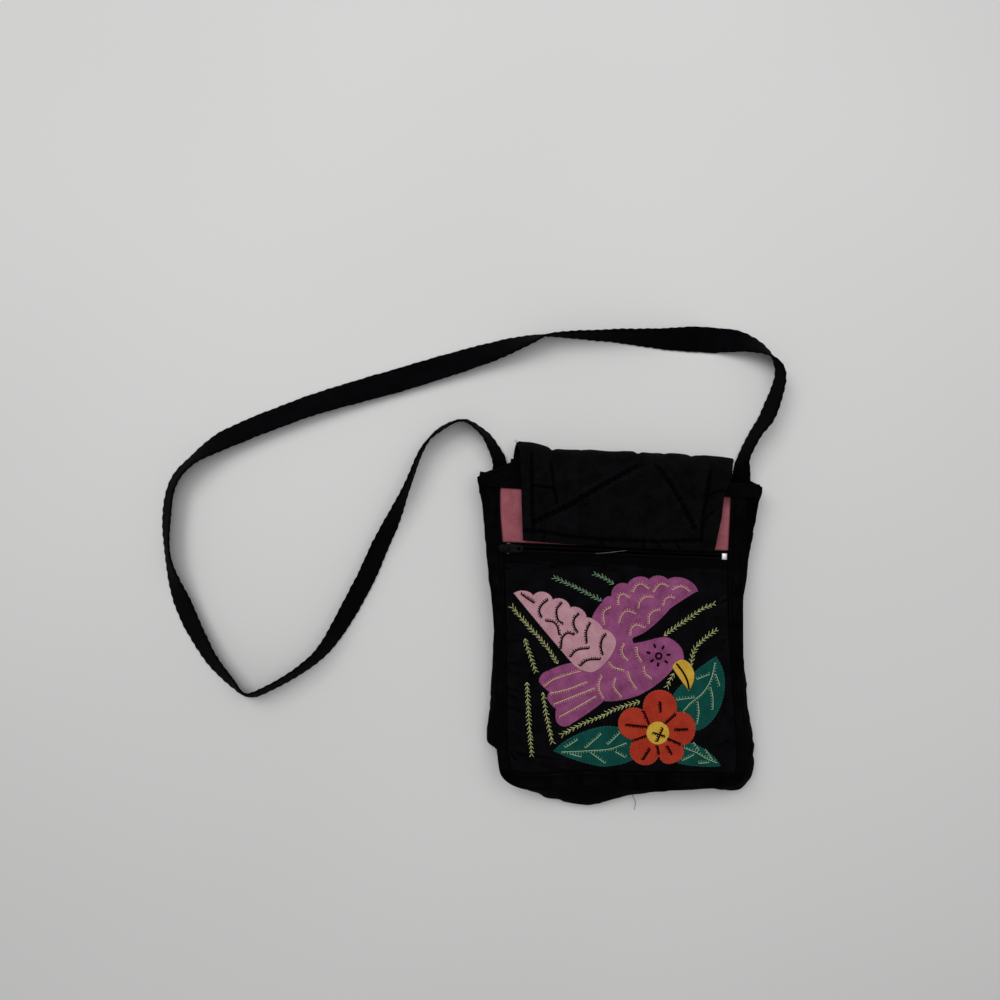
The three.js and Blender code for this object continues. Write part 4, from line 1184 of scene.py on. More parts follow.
    def back(self) -> None:
        """Back sheet on the floor, its top edge under the flap."""
        ends = self.back_edge(np.array([0.0, 1.0]))
        ends[:, 1] = self.back_top_y
        plan = self.spanned(ends, (0, LEFT_CORNER, RIGHT_CORNER, 1), self.back_edge, 110, 120)
        relief = folds(plan[..., 0], plan[..., 1], 40, (-85, 80, -110, 110), 0.16, 31, 0.8)
        surface = flat_sheet(plan, self.back_low, BACK_THICK, np.clip(relief, 0, 0.3), 1.6)
        piece = add_piece("back_panel_cloth", surface, BLACK_COTTON.material())
        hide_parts("back_panel")

    def front(self) -> None:
        """Front field: slack cloth, tucked under along the binding and folded under the zip, with painted
        shade in creases and painted highlights beside them.
        """
        ends = self.field_edge(np.array([LEFT_ZIP, RIGHT_ZIP]))
        plan = self.spanned(ends, (LEFT_ZIP, LEFT_CORNER, RIGHT_CORNER, RIGHT_ZIP), self.field_edge, 196, 190)
        relief = panel_relief(plan[..., 0], plan[..., 1])
        at_zip = smooth(7, 2, PANEL_TOP_Y - plan[..., 1])
        # Painted shade in the relief's hollows, stronger under the zip, and painted highlight on its rises
        painted_shading = (0.6 + 0.3 * at_zip) * smooth(0.05 + 0.1 * at_zip, -0.5 + 0.2 * at_zip, relief)
        painted_shading = painted_shading - (0.45 + 0.25 * at_zip) * smooth(0.1, 0.7, relief)
        for words in self.creases:
            line = even_path(PHOTO.on_height(pixels(words), FRONT_TOP), 1.0)
            away, along = (part.reshape(relief.shape) for part in path_distance(plan.reshape(-1, 2), line))
            fade = smooth(0, 5, along.max() - along)
            dip = bell(away, 0, self.crease_half) * fade
            relief = relief - 0.5 * dip + 0.3 * bell(away, self.crest_off, 1.0) * fade
            # Painted highlight along the raised line beside each crease, painted shade along the crease
            painted_crest_highlight = bell(away, self.crest_off + 0.1, 0.9) * fade
            painted_shading = np.maximum(painted_shading, 0.85 * dip) - 0.55 * painted_crest_highlight * (dip < 0.2)
        surface = flat_sheet(plan, FRONT_UNDER + self.layer_gap, FRONT_TOP, relief, 1.4, painted_shading)
        piece = add_piece("front_panel_cloth", surface, PANEL_COTTON.material())
        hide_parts("front_panel")

    def binding(self) -> None:
        """Binding round the front: a soft band, drawn down along two rows of stitches, with painted shade and
        painted highlights.
        """
        u = np.linspace(0, 1, self.steps)
        v = np.array(self.binding_across)
        wide = self.fold_columns.at(u)[:, 2]
        plan = self.seam(u[:, None] + 0 * v, -wide[:, None] * (1 - v) + self.binding_over * v)
        full = np.sqrt(1 - np.clip(np.abs(2 * v - 1), 0, 0.985) ** 7)
        row = sum(bell(v, at, 0.05) for at in self.binding_rows)
        run = run_lengths(plan[:, len(v) // 2])
        along, across = np.broadcast_arrays(run[:, None], 12 * v)
        ripple = folds(along, across, 110, (0, run[-1], 0, 12), 0.6, 41, 1.3)
        crown = 0.35 * (1 - (2 * v - 1) ** 2) - 0.3 * row + np.clip(ripple, -0.35, 0.5) * full
        low = FRONT_UNDER + self.layer_gap
        middle, half = (low + FRONT_TOP) / 2, (FRONT_TOP - low) / 2
        top = np.dstack([plan, middle + half * full + crown * np.ones((len(u), 1))])
        under = np.dstack([plan, middle - half * full + 0 * crown])
        # Painted shade along the stitch rows, at the rolled rims and in the ripples' troughs
        painted_shading = np.maximum(0.55 * row + 0.7 * (1 - full), 0.75 * smooth(0.15, -0.3, ripple))
        # Painted highlight on the ripples' tops and just inside both folded edges
        edge = bell(v, 0.06, 0.04) + 0.8 * bell(v, 0.94, 0.03)
        painted_shading = painted_shading - 0.12 * smooth(0.1, 0.6, ripple) - 0.35 * edge
        piece = add_piece("front_border_binding", Surface.shell(top, under, painted_shading), BINDING.material())
        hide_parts("front_border")
        self.stitch("binding_stitches", [top[:, self.binding_across.index(at)] for at in self.binding_rows])

    def stitch(self, name: str, lines: Iterable[Array]) -> None:
        """Black running stitches along lines on the body."""
        pairs = running(lines, self.stitch_pitch, self.stitch_gap)
        tubes = stitch_tubes(*pairs, self.stitch_radius, self.stitch_lift)
        add_piece(name, tubes, Tone.BLACK.value.material())

    def yoke(self) -> None:
        """Pink strip between the zip and the mouth, straight across from binding to binding, with a painted
        shadow at its top right.
        """
        share = np.linspace(0, 1, 400)
        left = self.field_edge(LEFT_ZIP * share)[::-1]
        right = self.field_edge(RIGHT_ZIP + (1 - RIGHT_ZIP) * share)
        y = np.linspace(YOKE_BOTTOM_Y, MOUTH_Y - self.yoke_short, 50)
        x_left = np.interp(y, left[:, 1], left[:, 0])
        x_right = np.interp(y, right[:, 1], right[:, 0])
        s = np.linspace(0, 1, 130)[:, None]
        plan = np.stack([x_left + (x_right - x_left) * s, y + 0 * s], axis=-1)
        relief = folds(plan[..., 0], plan[..., 1], 36, (-92, 78, 62, 104), 0.3, 51, 1.4)
        # Painted shadow of the fold over the top right corner of the strip
        painted_fold_shadow = 0.6 * smooth(66, 74, plan[..., 0]) * smooth(88, 98.5, plan[..., 1])
        low, high = FRONT_UNDER + self.layer_gap, FRONT_TOP - self.layer_gap
        surface = flat_sheet(plan, low, high, np.clip(relief, -0.4, 0.4), 1.0, painted_fold_shadow)
        piece = add_piece("yoke_cloth", surface, PINK_COTTON.material())
        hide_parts("yoke")

    def hem(self) -> None:
        """Band over the mouth's edge: its profile runs along the front, round the edge and down inside."""
        x = np.linspace(*self.hem_x, 200)[:, None]
        turn = np.linspace(0, np.pi / 2, 8)[1:]
        low, high = self.hem_y
        flat_y, inner_y = np.linspace(low, high, 12), np.full(4, high + self.hem_turn)
        profile_y = np.concatenate([flat_y, high + self.hem_turn * np.sin(turn), inner_y])
        round_z = self.hem_z - self.hem_turn + self.hem_turn * np.cos(turn)
        profile_z = np.concatenate([np.full(12, self.hem_z), round_z, np.linspace(*self.hem_inside_z, 4)])
        wave = folds(x, profile_y, 34, (-100, 86, 98, 108), 0.28, 61, 1.2)
        raised = profile_y + self.hem_ear * np.exp(-(x - self.hem_x[0]) / 9)
        left_droop, right_droop = self.hem_droop
        bent = np.clip(wave, -0.2, 0.3) - right_droop * smooth(86, 97, x) - left_droop * smooth(-99, -105, x)
        middle = np.stack(np.broadcast_arrays(x, raised, profile_z + bent), axis=-1)
        piece = add_piece("top_hem_band", Surface.cloth(middle, self.hem_thick), BINDING.material())
        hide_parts("top_hem")
        seam = np.column_stack([x, *(np.full_like(x, at) for at in self.hem_seam)])
        self.stitch("hem_stitches", [seam[6:-12]])

    def mouth_fold(self) -> None:
        """Side strip folded in at the mouth's left corner: ruled from the hem to its own banded edge."""
        share = np.linspace(0, 1, 40)
        edges = []
        for words, height in ((self.fold_near, self.fold_near_z), (self.fold_far, self.fold_heights)):
            marks = pixels(words)
            tall = np.broadcast_to(height, len(marks))
            edges.append(Spline(np.column_stack([PHOTO.on_height(marks, tall), tall])).at(share)[:, None])
        t = np.linspace(0, 1, 26)
        near, far = edges
        middle = near * (1 - t)[:, None] + far * t[:, None]
        band = 0.7 * smooth(0.5, 0.54, t) - 1.3 * np.sin(np.pi * t / self.fold_dip) * (t < self.fold_dip)
        middle[..., 2] += band * smooth(0, 0.3, share)[:, None]
        piece = add_piece("gusset_top_fold", Surface.cloth(middle, self.fold_thick), BLACK_COTTON.material())


@dataclass
class Zip:
    """Zip across the front: tapes, coils, end stop, slider and pull."""

    tape_x: tuple[float, float] = (-95.0, 84.0)
    tape_z: tuple[float, float] = (19.7, 20.4)
    tape_edges: tuple[float, float] = (44.0, 66.0)
    tape_wide: float = 11.5
    slot_half: float = 0.55
    coil_x: tuple[float, float] = (-85.2, 70.2)
    coil_wide: float = 1.95
    coil_z: tuple[float, float] = (20.6, 22.3)
    coil_clear: float = 0.5
    pitch: float = 1.25
    wire: float = 0.3
    turn_steps: int = 12
    sharp_turn: float = math.radians(30)

    def build(self) -> None:
        """Make both halves and the metal parts."""
        self.half("lower", -1, self.tape_edges[0])
        self.half("upper", 1, self.tape_edges[1])
        self.metal("zipper_stop", BRIGHT_METAL, soften=0.45, body="bag")
        self.metal("zipper_slider", BLACK_PAINT, soften=0.22, body="slider")
        self.metal("zipper_pull", BLACK_PAINT, soften=0.2, body="pull")

    def half(self, name: str, sign: int, far_y: float) -> None:
        """One tape and the coil along its inner edge.

        Args:
            name: Word for the half.
            sign: Side of the slot it lies on.
            far_y: Its outer edge.
        """
        near = ZIP_Y + sign * self.slot_half
        x, y = np.meshgrid(np.linspace(*self.tape_x, 180), np.linspace(near, far_y, 16), indexing="ij")
        ripple = 0.1 * np.sin(TAU * x / 13) * smooth(1, 8, np.abs(y - ZIP_Y))
        surface = flat_sheet(np.dstack([x, y]), *self.tape_z, np.clip(ripple, -0.1, 0.05), 0.4)
        tape = add_piece(f"zip_tape_{name}", surface, TAPE_NYLON.material())
        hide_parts(f"zipper_tape_{name}")
        coil = add_piece(f"zip_coil_{name}", self.coil(near, sign), COIL_NYLON.material())
        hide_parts(f"zipper_teeth_{name}")

    def coil(self, near: float, sign: int) -> Surface:
        """A flattened helix of nylon wire: one turn a tooth, an ellipse in section across the zip."""
        turns = int((self.coil_x[1] - self.coil_x[0] - 2 * self.coil_clear) / self.pitch)
        angle = np.linspace(0, TAU * turns, turns * self.turn_steps + 1)
        middle_y = near + sign * self.coil_wide / 2
        middle_z = sum(self.coil_z) / 2
        half_y = self.coil_wide / 2 - self.wire
        half_z = (self.coil_z[1] - self.coil_z[0]) / 2 - self.wire
        x = self.coil_x[0] + self.coil_clear + angle / TAU * self.pitch
        line = np.stack([x, middle_y + half_y * np.cos(angle), middle_z + half_z * np.sin(angle)], axis=1)
        out = np.stack([0 * x, np.cos(angle), np.sin(angle)], axis=1)
        return Surface.tubes(hoops(line, np.cross(headings(line), out), out, self.wire, 5)[None])

    def metal(self, node: str, finish: ZipMetal, soften: float, body: str) -> None:
        """A metal part: its solid, merged, with every sharp edge rounded.

        Args:
            node: Solid it stands for.
            finish: Its metal.
            soften: Radius of the edges in millimetres.
            body: Body that carries it.
        """
        shape = bmesh.new()
        shape.from_mesh(frame["nodes"][node].data)
        bmesh.ops.remove_doubles(shape, verts=shape.verts, dist=1e-6)
        bmesh.ops.dissolve_limit(shape, angle_limit=math.radians(1), verts=shape.verts, edges=shape.edges)
        sharp = [edge for edge in shape.edges
                 if edge.is_manifold and edge.calc_face_angle(0) > self.sharp_turn]
        bmesh.ops.bevel(shape, geom=sharp, offset=soften * MM, segments=2, profile=0.6, affect="EDGES",
                        clamp_overlap=True)
        bmesh.ops.triangulate(shape, faces=shape.faces)
        mesh = bpy.data.meshes.new(f"{node}_worn")
        shape.to_mesh(mesh)
        shape.free()
        mesh.shade_smooth()
        mesh.set_sharp_from_angle(angle=math.radians(38))
        places = np.empty(len(mesh.vertices) * 3, np.float32)
        mesh.vertices.foreach_get("co", places)
        across = mesh.attributes.new(ACROSS, "FLOAT", "POINT")
        across.data.foreach_set("value", places[1::3] / MM - ZIP_Y)
        piece = link_piece(f"{node}_worn", mesh, finish.material(), body)
        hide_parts(node)


@dataclass
class Flap:
    """Padded flap, quilted by hand, folded over the mouth from the back; words are photo points."""

    thick: float = 5.0
    rim: float = 0.42
    rim_reach: float = 0.035
    columns: int = 186
    rows: int = 136
    lap_y: float = 105.0
    top_y: float = 129.2
    ear: float = 4.4
    droop: float = 2.0
    corner_left: float = 2.2
    corner_right: float = 3.6
    edge_y: float = 59.4
    edge_rise: float = 2.8
    low_z: float = 4.65
    high_z: float = 27.1
    lap: float = 0.1
    fold: float = 0.42
    fill: float = 0.45
    band_depth: float = 2.3
    chevron_depth: float = 2.1
    crease: tuple[float, float] = (1.7, 1.0)
    faint_crease: tuple[float, float] = (0.7, 0.9)
    cloth_run: float = 95.0
    deepest: float = -2.7
    highest: float = 0.8
    stitch_pitch: float = 3.2
    stitch_gap: float = 0.15
    stitch_radius: float = 0.26
    stitch_lift: float = 0.3
    down: tuple[float, ...] = (0, 0.25, 0.55, 1)
    left: tuple[float, ...] = (-75.9, -74.6, -73.7, -71.8)
    right: tuple[float, ...] = (74.0, 68.8, 67.6, 63.4)
    band_seams: tuple[str, ...] = (
        "531.5,452 532,490 533,533", "523,530 543,531.7 570,536.7 610,540 656,541.7 702,540",
        "712,462 708,490 703,518 701,540")
    chevron: tuple[str, ...] = ("535,521.7 570,505 603,485 643,463", "655,463 670,483 683,505 694,527")
    creases: tuple[str, ...] = (
        "550,453 553,478 557,503", "532,485 553,488", "705,497 722,490", "643,544 645,551", "657,543 661,549",
        "676,542 680,550", "704,520 713,512", "545,533 543,541", "600,540 604,547")
    faint: tuple[str, ...] = ("580,452 581,532", "566,470 567,500", "690,470 694,500")
    notches: tuple[tuple[float, float], ...] = (
        (-53.1, 1.5), (-32.0, 0.5), (8.6, 1.5), (27.6, 0.6), (47.0, 0.9))
    notch_half: float = 2.2

    def middle(self, u: Array, v: Array) -> Array:
        """Middle surface: a lap on the back, a half turn round the fold, a straight run down the front."""
        radius = (self.high_z - self.low_z) / 2
        ear = self.ear * (1 - smooth(0.03, 0.17, u))
        fold_y = self.top_y + ear - self.droop * u**6 - radius - self.thick * 0.5
        edge_y = self.edge_y + self.edge_rise * (1 - u) ** 2.5
        down = np.clip((v - self.fold) / (1 - self.fold), 0, 1)
        x = np.interp(down, self.down, self.left) * (1 - u) + np.interp(down, self.down, self.right) * u
        turn = np.pi * np.clip((v - self.lap) / (self.fold - self.lap), 0, 1)
        frayed = (1 + np.cos(turn)) * smooth(0, self.lap, v)
        x = x + self.corner_right * np.exp((u - 1) / 0.06) * np.sin(turn) ** 3
        x = x - self.corner_left * np.exp(-u / 0.05) * frayed
        y = np.where(v < self.lap, self.lap_y + (fold_y - self.lap_y) * v / self.lap,
                     fold_y + radius * np.sin(turn) + (edge_y - fold_y) * down)
        z = self.low_z + radius - radius * np.cos(turn)
        return np.stack([x, y, z], axis=-1)

    def seams(self, words: Iterable[str]) -> list[Array]:
        """Seam lines on the flap's face, from photo points."""
        return [even_path(PHOTO.on_height(pixels(word), FLAP_Z), 1.0) for word in words]

    def padding(self, u: Array, v: Array) -> Array:
        """Thickness: full in the middle, drawn in at the rims and on the lap."""
        inside = np.minimum(np.minimum(u, 1 - u), (1 - v) * 0.8)
        share = np.clip(inside / self.rim_reach, 0, 1)
        at_rim = self.rim + (1 - self.rim) * np.sqrt(1 - (1 - share) ** 2)
        on_lap = 0.5 + 0.5 * smooth(self.lap, self.fold, v)
        return self.thick * np.minimum(at_rim, on_lap)

    def quilting(self, points: Array, front: Array) -> Array:
        """Depth of the quilting: valleys along the seams, puckered along the hand-sewn chevron.

        Args:
            points: X and Y of the face, (n, m, 2).
            front: Share of a point that is on the front or the fold, (n, m).
        Returns:
            Height to add, mostly negative, (n, m).
        """
        flat = points.reshape(-1, 2)
        depth = np.zeros(len(flat))
        for line in self.seams(self.band_seams):
            away, along = path_distance(flat, line)
            wide = 1.1 + 0.2 * np.sin(TAU * along / 7 + 1.7 * np.sin(along / 4.3))
            depth -= (self.band_depth + 0.35 * np.sin(TAU * along / 9)) * bell(away, 0, wide)
            depth += 0.4 * np.sin(TAU * along / 5.2 + 2 * np.sin(along / 6)) * np.exp(-away / 3.5)
        for line in self.seams(self.chevron):
            away, along = path_distance(flat, line)
            beat = np.sin(TAU * along / 4.4 + 1.5 * np.sin(along / 3.7))
            depth -= (self.chevron_depth + 0.4 * beat) * bell(away, 0, 1.5 + 0.55 * beat)
            depth += (0.45 + 0.35 * beat) * bell(away, 3.1, 1.2)
        for words, (deep, wide) in ((self.creases, self.crease), (self.faint, self.faint_crease)):
            for line in self.seams(words):
                away, _ = path_distance(flat, line)
                depth -= deep * bell(away, 0, wide)
        slack = folds(points[..., 0], points[..., 1], 70, (-70, 76, 62, 128), 0.6, 71, 0.3)
        return (depth.reshape(front.shape) + np.clip(slack, -0.7, 0.7)) * front

    def build(self) -> None:
        """Build the flap's two faces and its quilting, paint shade into its valleys and highlights onto its
        rises, let the padding swell, and stitch the seams.
        """
        u, v = np.meshgrid(end_shares(self.columns, 0.35), np.linspace(0, 1, self.rows), indexing="ij")
        middle = self.middle(u, v)
        facing = -normals(middle)
        half = (self.padding(u, v) / 2)[..., None]
        over = smooth(self.lap, self.lap + 0.08, v)
        front = smooth(self.fold - 0.06, self.fold + 0.02, v)
        relief = self.quilting(middle[..., :2], front)
        # Painted shade in the quilting's valleys and painted highlight on its raised parts
        painted_shading = 0.92 * smooth(0.0, 1.5, -relief) - 0.22 * smooth(0.1, 0.9, relief)
        x = middle[..., 0]
        bend = smooth(0.16, 0.24, v) * (1 - smooth(0.42, 0.52, v))
        for place, depth in self.notches:
            relief = relief - depth * bend * bell(x, place, self.notch_half)
        puckers = folds(x, v * self.cloth_run, 60, (-74, 70, 8, 92), 0.42, 71, 1.2)
        relief = relief + puckers * over * smooth(0, 0.04, 1 - v)
        swell = 0.35 * np.sin(TAU * x / 31 + 0.7) * smooth(0.12, 0.2, v) * (1 - smooth(0.42, 0.5, v))
        relief = np.clip(relief + swell, self.deepest, self.highest)
        edge = smooth(0, 0.02, np.minimum(np.minimum(u, 1 - u), 1 - v))
        top = middle + facing * (half + (relief * edge)[..., None])
        surface = Surface.shell(top, middle - facing * half, painted_shading)
        piece = add_piece("flap_quilted", surface, FLAP_COTTON.material())
        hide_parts("flap")
        self.stitch(top[:, v[0] > self.fold].reshape(-1, 3))

    def stitch(self, face: Array) -> None:
        """Running stitches in the band seams and the chevron.

        Args:
            face: Points of the finished front face, to lay the stitches on.
        """
        pairs = running(self.seams(self.band_seams + self.chevron), self.stitch_pitch, self.stitch_gap)
        places = [np.column_stack([part, height_near(part, face) + 0.05]) for part in pairs]
        tubes = stitch_tubes(*places, self.stitch_radius, self.stitch_lift)
        add_piece("flap_stitches", tubes, Tone.BLACK.value.material())


def height_near(points: Array, cloud: Array) -> Array:
    """Height of the nearest cloud point, in plan, to each point."""
    away = ((points[:, None] - cloud[None, :, :2]) ** 2).sum(2)
    return cloud[away.argmin(1), 2]


@dataclass
class Patch:
    """One sewn-on patch: turned edges, a slightly padded face, draped over what lies under it."""

    node: str
    slot: str
    finish: Cotton
    edge: Tone
    corners: Sequence[Sequence[float]]
    under: Sequence["Patch"] = ()
    grain: float = 0.0
    thick: float = 0.75
    puff: float = 0.4
    turned: float = 0.8
    ground_gap: float = 0.12
    seat: float = 0.04
    layer_gap: float = 0.08
    drape: tuple[float, float] = (-1.6, 0.9)
    outline_pitch: float = 0.85
    insets: tuple[float, ...] = (0.22, 0.55, 1.0, 1.6)
    pitch: float = 1.7
    pitch_clear: float = 2.4
    outline: Array = field(default=None, repr=False)

    def __post_init__(self) -> None:
        """Outline through the corners, each edge a cubic that bows to its left."""
        rows = np.array([row[:3] for row in self.corners], float)
        after = np.roll(rows, -1, axis=0)
        start, end = rows[:, :2], after[:, :2]
        length = np.linalg.norm(end - start, axis=1, keepdims=True)
        run = (end - start) / length
        left = left_of(run) * after[:, 2:3] * 4 / 3
        has_cheek = len(self.corners[0]) > 3
        swell = np.roll([[row[3]] for row in self.corners], -1, axis=0) if has_cheek else -0.2 * length
        one, two = start - run * swell + left, end + run * swell + left
        t = np.linspace(0, 1, 40, endpoint=False)[:, None]
        edges = ((1 - t) ** 3 * start[:, None] + 3 * t * (1 - t) ** 2 * one[:, None]
                 + 3 * t**2 * (1 - t) * two[:, None] + t**3 * end[:, None])
        closed = np.concatenate([edges, end[:, None]], axis=1)
        self.outline = np.vstack([even_path(edge, self.outline_pitch)[:-1] for edge in closed])

    def inside(self, points: Array) -> Array:
        """Distance inside the outline, negative outside it."""
        ring = np.vstack([self.outline, self.outline[:1]])
        away, _ = path_distance(points, ring)
        a, b = ring[:-1], ring[1:]
        spans = (a[:, 1] > points[:, None, 1]) != (b[:, 1] > points[:, None, 1])
        rise = b[:, 1] - a[:, 1]
        rise = np.where(np.abs(rise) < TINY, TINY, rise)
        cross = a[:, 0] + (points[:, None, 1] - a[:, 1]) / rise * (b[:, 0] - a[:, 0])
        odd = (spans & (points[:, None, 0] < cross)).sum(1) % 2
        return np.where(odd == 1, away, -away)

    def ground(self, points: Array) -> Array:
        """Height of what the patch lies on: the field, rising over any patch below."""
        base = FRONT_TOP + panel_relief(points[:, 0], points[:, 1])
        for patch in self.under:
            step = smooth(*self.drape, patch.inside(points))
            base = np.maximum(base, base * (1 - step) + (patch.face(points) + self.layer_gap) * step)
        return base

    def face(self, points: Array) -> Array:
        """Height of the patch's own face: a quarter round at the edge, then a slow swell."""
        away = np.maximum(self.inside(points), 0)
        turned = np.sqrt(1 - (1 - np.clip(away / self.turned, 0, 1)) ** 2)
        dimple = 0.22 * bell(away, 1.3, 0.7)
        loose = folds(points[:, 0], points[:, 1], 34, (-78, 70, -96, 40), 0.2, 81 + len(self.corners), 0.6)
        return (self.ground(points) + self.ground_gap + self.thick * (0.3 + 0.7 * turned) - dimple
                + self.puff * (1 - np.exp(-away / 5)) + np.clip(loose, -0.25, 0.25) * smooth(1, 4, away))

    def build(self) -> None:
        """Fill the outline with points, join them into triangles and raise them to the face's height."""
        ring = self.outline
        inward = -left_of(unit(np.roll(ring, -1, axis=0) - np.roll(ring, 1, axis=0)))
        sets = [ring]
        for inset in self.insets:
            row = ring + inward * inset
            sets.append(row[self.inside(row) > inset * 0.93])
        steps = [np.arange(low, high, self.pitch) for low, high in zip(ring.min(0), ring.max(0))]
        x, y = np.meshgrid(*steps, indexing="ij")
        shift = np.arange(len(x)) % 2 * (self.pitch / 2)
        net = np.stack([x, y + shift[:, None]], axis=-1).reshape(-1, 2)
        sets.append(net[self.inside(net) > self.pitch_clear])
        made = delaunay_2d_cdt(np.vstack(sets).tolist(), [], [list(range(len(ring)))], 1, 1e-4)
        plan = np.array([tuple(point) for point in made[0]])
        cap = np.array([list(face) for face in made[2]])
        count = len(plan)
        top = np.column_stack([plan, self.face(plan)])
        bottom = np.column_stack([plan, self.ground(plan) + self.seat])
        pairs = np.concatenate([cap[:, [0, 1]], cap[:, [1, 2]], cap[:, [2, 0]]])
        known = {tuple(pair) for pair in pairs.tolist()}
        rim = [[b, a, a + count, b + count] for a, b in known if (b, a) not in known]
        faces = cap.tolist() + (cap[:, ::-1] + count).tolist() + rim
        cosine, sine = math.cos(self.grain), math.sin(self.grain)
        uv = plan @ np.array([[cosine, -sine], [sine, cosine]]) + 200
        surface = Surface(np.vstack([top, bottom]), faces, np.vstack([uv, uv])).outward()
        piece = add_piece(f"{self.node}_patch", surface, self.finish.material())
        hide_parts(self.node)


class Stroke(NamedTuple):
    """A line of blanket stitch: thread, side of its ticks and its photo points."""

    tone: Tone
    side: Side
    words: str


STROKES = [
    *(Stroke(Tone.CREAM, Side.BULGE, words) for words in (
        "633.5,592 635.5,587 641,584 648.5,589", "654,592 659,585 663,584 668,587",
        "673,590 678,587 683,587 689.5,591.5", "619,604.5 619,597 623,594 629,598",
        "639,608 640,602 646,597 653,597.5", "664,605.5 665,600 670,597 675,598.5",
        "605,624 603.5,616 605,610.5 611,607.5", "619.5,623 621.5,616 627,611 635.5,614",
        "649.5,623.5 649.5,616 654,611 660,610", "631,635 631.5,629 636,625 645,628",
        "624.5,644 622,650 624,656 628,660", "637.5,647.5 637.5,654 642,661",
        "609.5,662 613,666.5 624,670", "644.5,666.5 645.5,673 652,678.5", "628,671.5 631,680 637,688.5",
        "602,676 599,684 600,691 604,698", "616,678.5 614,686 622,697",
        "544.4,686.7 551.7,680.6 560.6,677 580.6,671")),
    Stroke(Tone.CREAM, Side.RIGHT, "550.6,693 568,689 586.7,681.7"),
    Stroke(Tone.CREAM, Side.LEFT, "594.4,688 574,696 554,704"),
    Stroke(Tone.CREAM, Side.LEFT, "595.6,696 577,707 559.4,716.7"),
    Stroke(Tone.DARK, Side.LEFT, "521,594 528,599 534,603"),
    *(Stroke(Tone.DARK, Side.BULGE, words) for words in (
        "548,600 542,605 539.4,610.6 542,617", "562,603 557,609 557,615 559,621 563,622.6",
        "545.6,621 553,622 557,626 559,635", "579,614 574.4,619 574.4,626 578,632",
        "590.6,623 586.7,630.6 587,643", "574,635 568,633 563,637 561,649",
        "606,634 602,639 601,648 603,654", "570.6,657 576,650.6 589,648", "580,665.6 587,660 600,659")),
    *(Stroke(Tone.VEIN, Side.BULGE, words) for words in (
        "715,663 710.6,680 702.5,693 691,702.5 683,711", "562,752 590,750.6 610,748.8 626,743",
        "684,748 696,752.5 707.5,759 717,763")),
    *(Stroke(Tone.VEIN, Side.LEFT, words) for words in (
        "697,679.4 709.4,674.4", "677,700 694.4,697.5", "565.6,747.5 577.5,740", "585.6,748 601,734.4",
        "608,744.4 620,733", "570,754 581,757", "591,753 605,763.5", "615.6,752 625,757.5",
        "682.5,760.6 694,755", "699,763.5 709,762.5")),
    *(Stroke(Tone.VEIN, Side.RIGHT, words) for words in (
        "716,674.4 720,685.6", "711,687.5 713,697 713,709.4", "698,702 699,712 697.3,724",
        "694.4,743 699.4,750", "706,750 712.5,759.4")),
    *(Stroke(Tone.DARK, Side.RIGHT, words) for words in (
        "660.6,702 661,712", "626,724.4 647,726.5", "675,729 687.5,728.5", "667.5,746 672,754",
        "650,749 643,760", "644,711 649.4,724", "675.6,714.4 665,724", "667.5,738 680.6,744",
        "657.5,746 659.4,754", "632.5,740 646,735.6", "653,732 664.4,735.6", "662.5,728 657,741")),
]
SPINE_RADIUS = {Tone.CREAM: 0.24, Tone.DARK: 0.6, Tone.VEIN: 0.2}
BEAK_LINE = "676.5,663.5 683,672 687,680 689,689.5"
EYE = "658.7,656"
EYE_RAYS = "654.7,646 663,647.5 648.5,652.7 668.5,654.7 652,660.7 666.3,661.8 658,664.5"
# Feather-stitch sprigs, from the closed end of their V stitches to the open end
SPRIGS = [
    (Tone.LIME, "558,664 543,642 529,627 510.6,605.6"), (Tone.LIME, "525,639 529,653 537,674"),
    (Tone.LIME, "527,683 529,720 532,758"), (Tone.LIME, "543,693 547,718 553,745"),
    (Tone.LIME, "640,702 617.5,709 600,717.5 581,725 560.6,736"),
    (Tone.GREEN, "602,601 577,588 553,577"), (Tone.GREEN, "614,584 604,578 593,573"),
    (Tone.LIME, "664.5,636 677,627 690,618 703,609 716.5,603.5"),
    (Tone.LIME, "691,666 695,650 705,639 718.5,629"), (Tone.LIME, "674,674 670,681 666.5,689"),
]


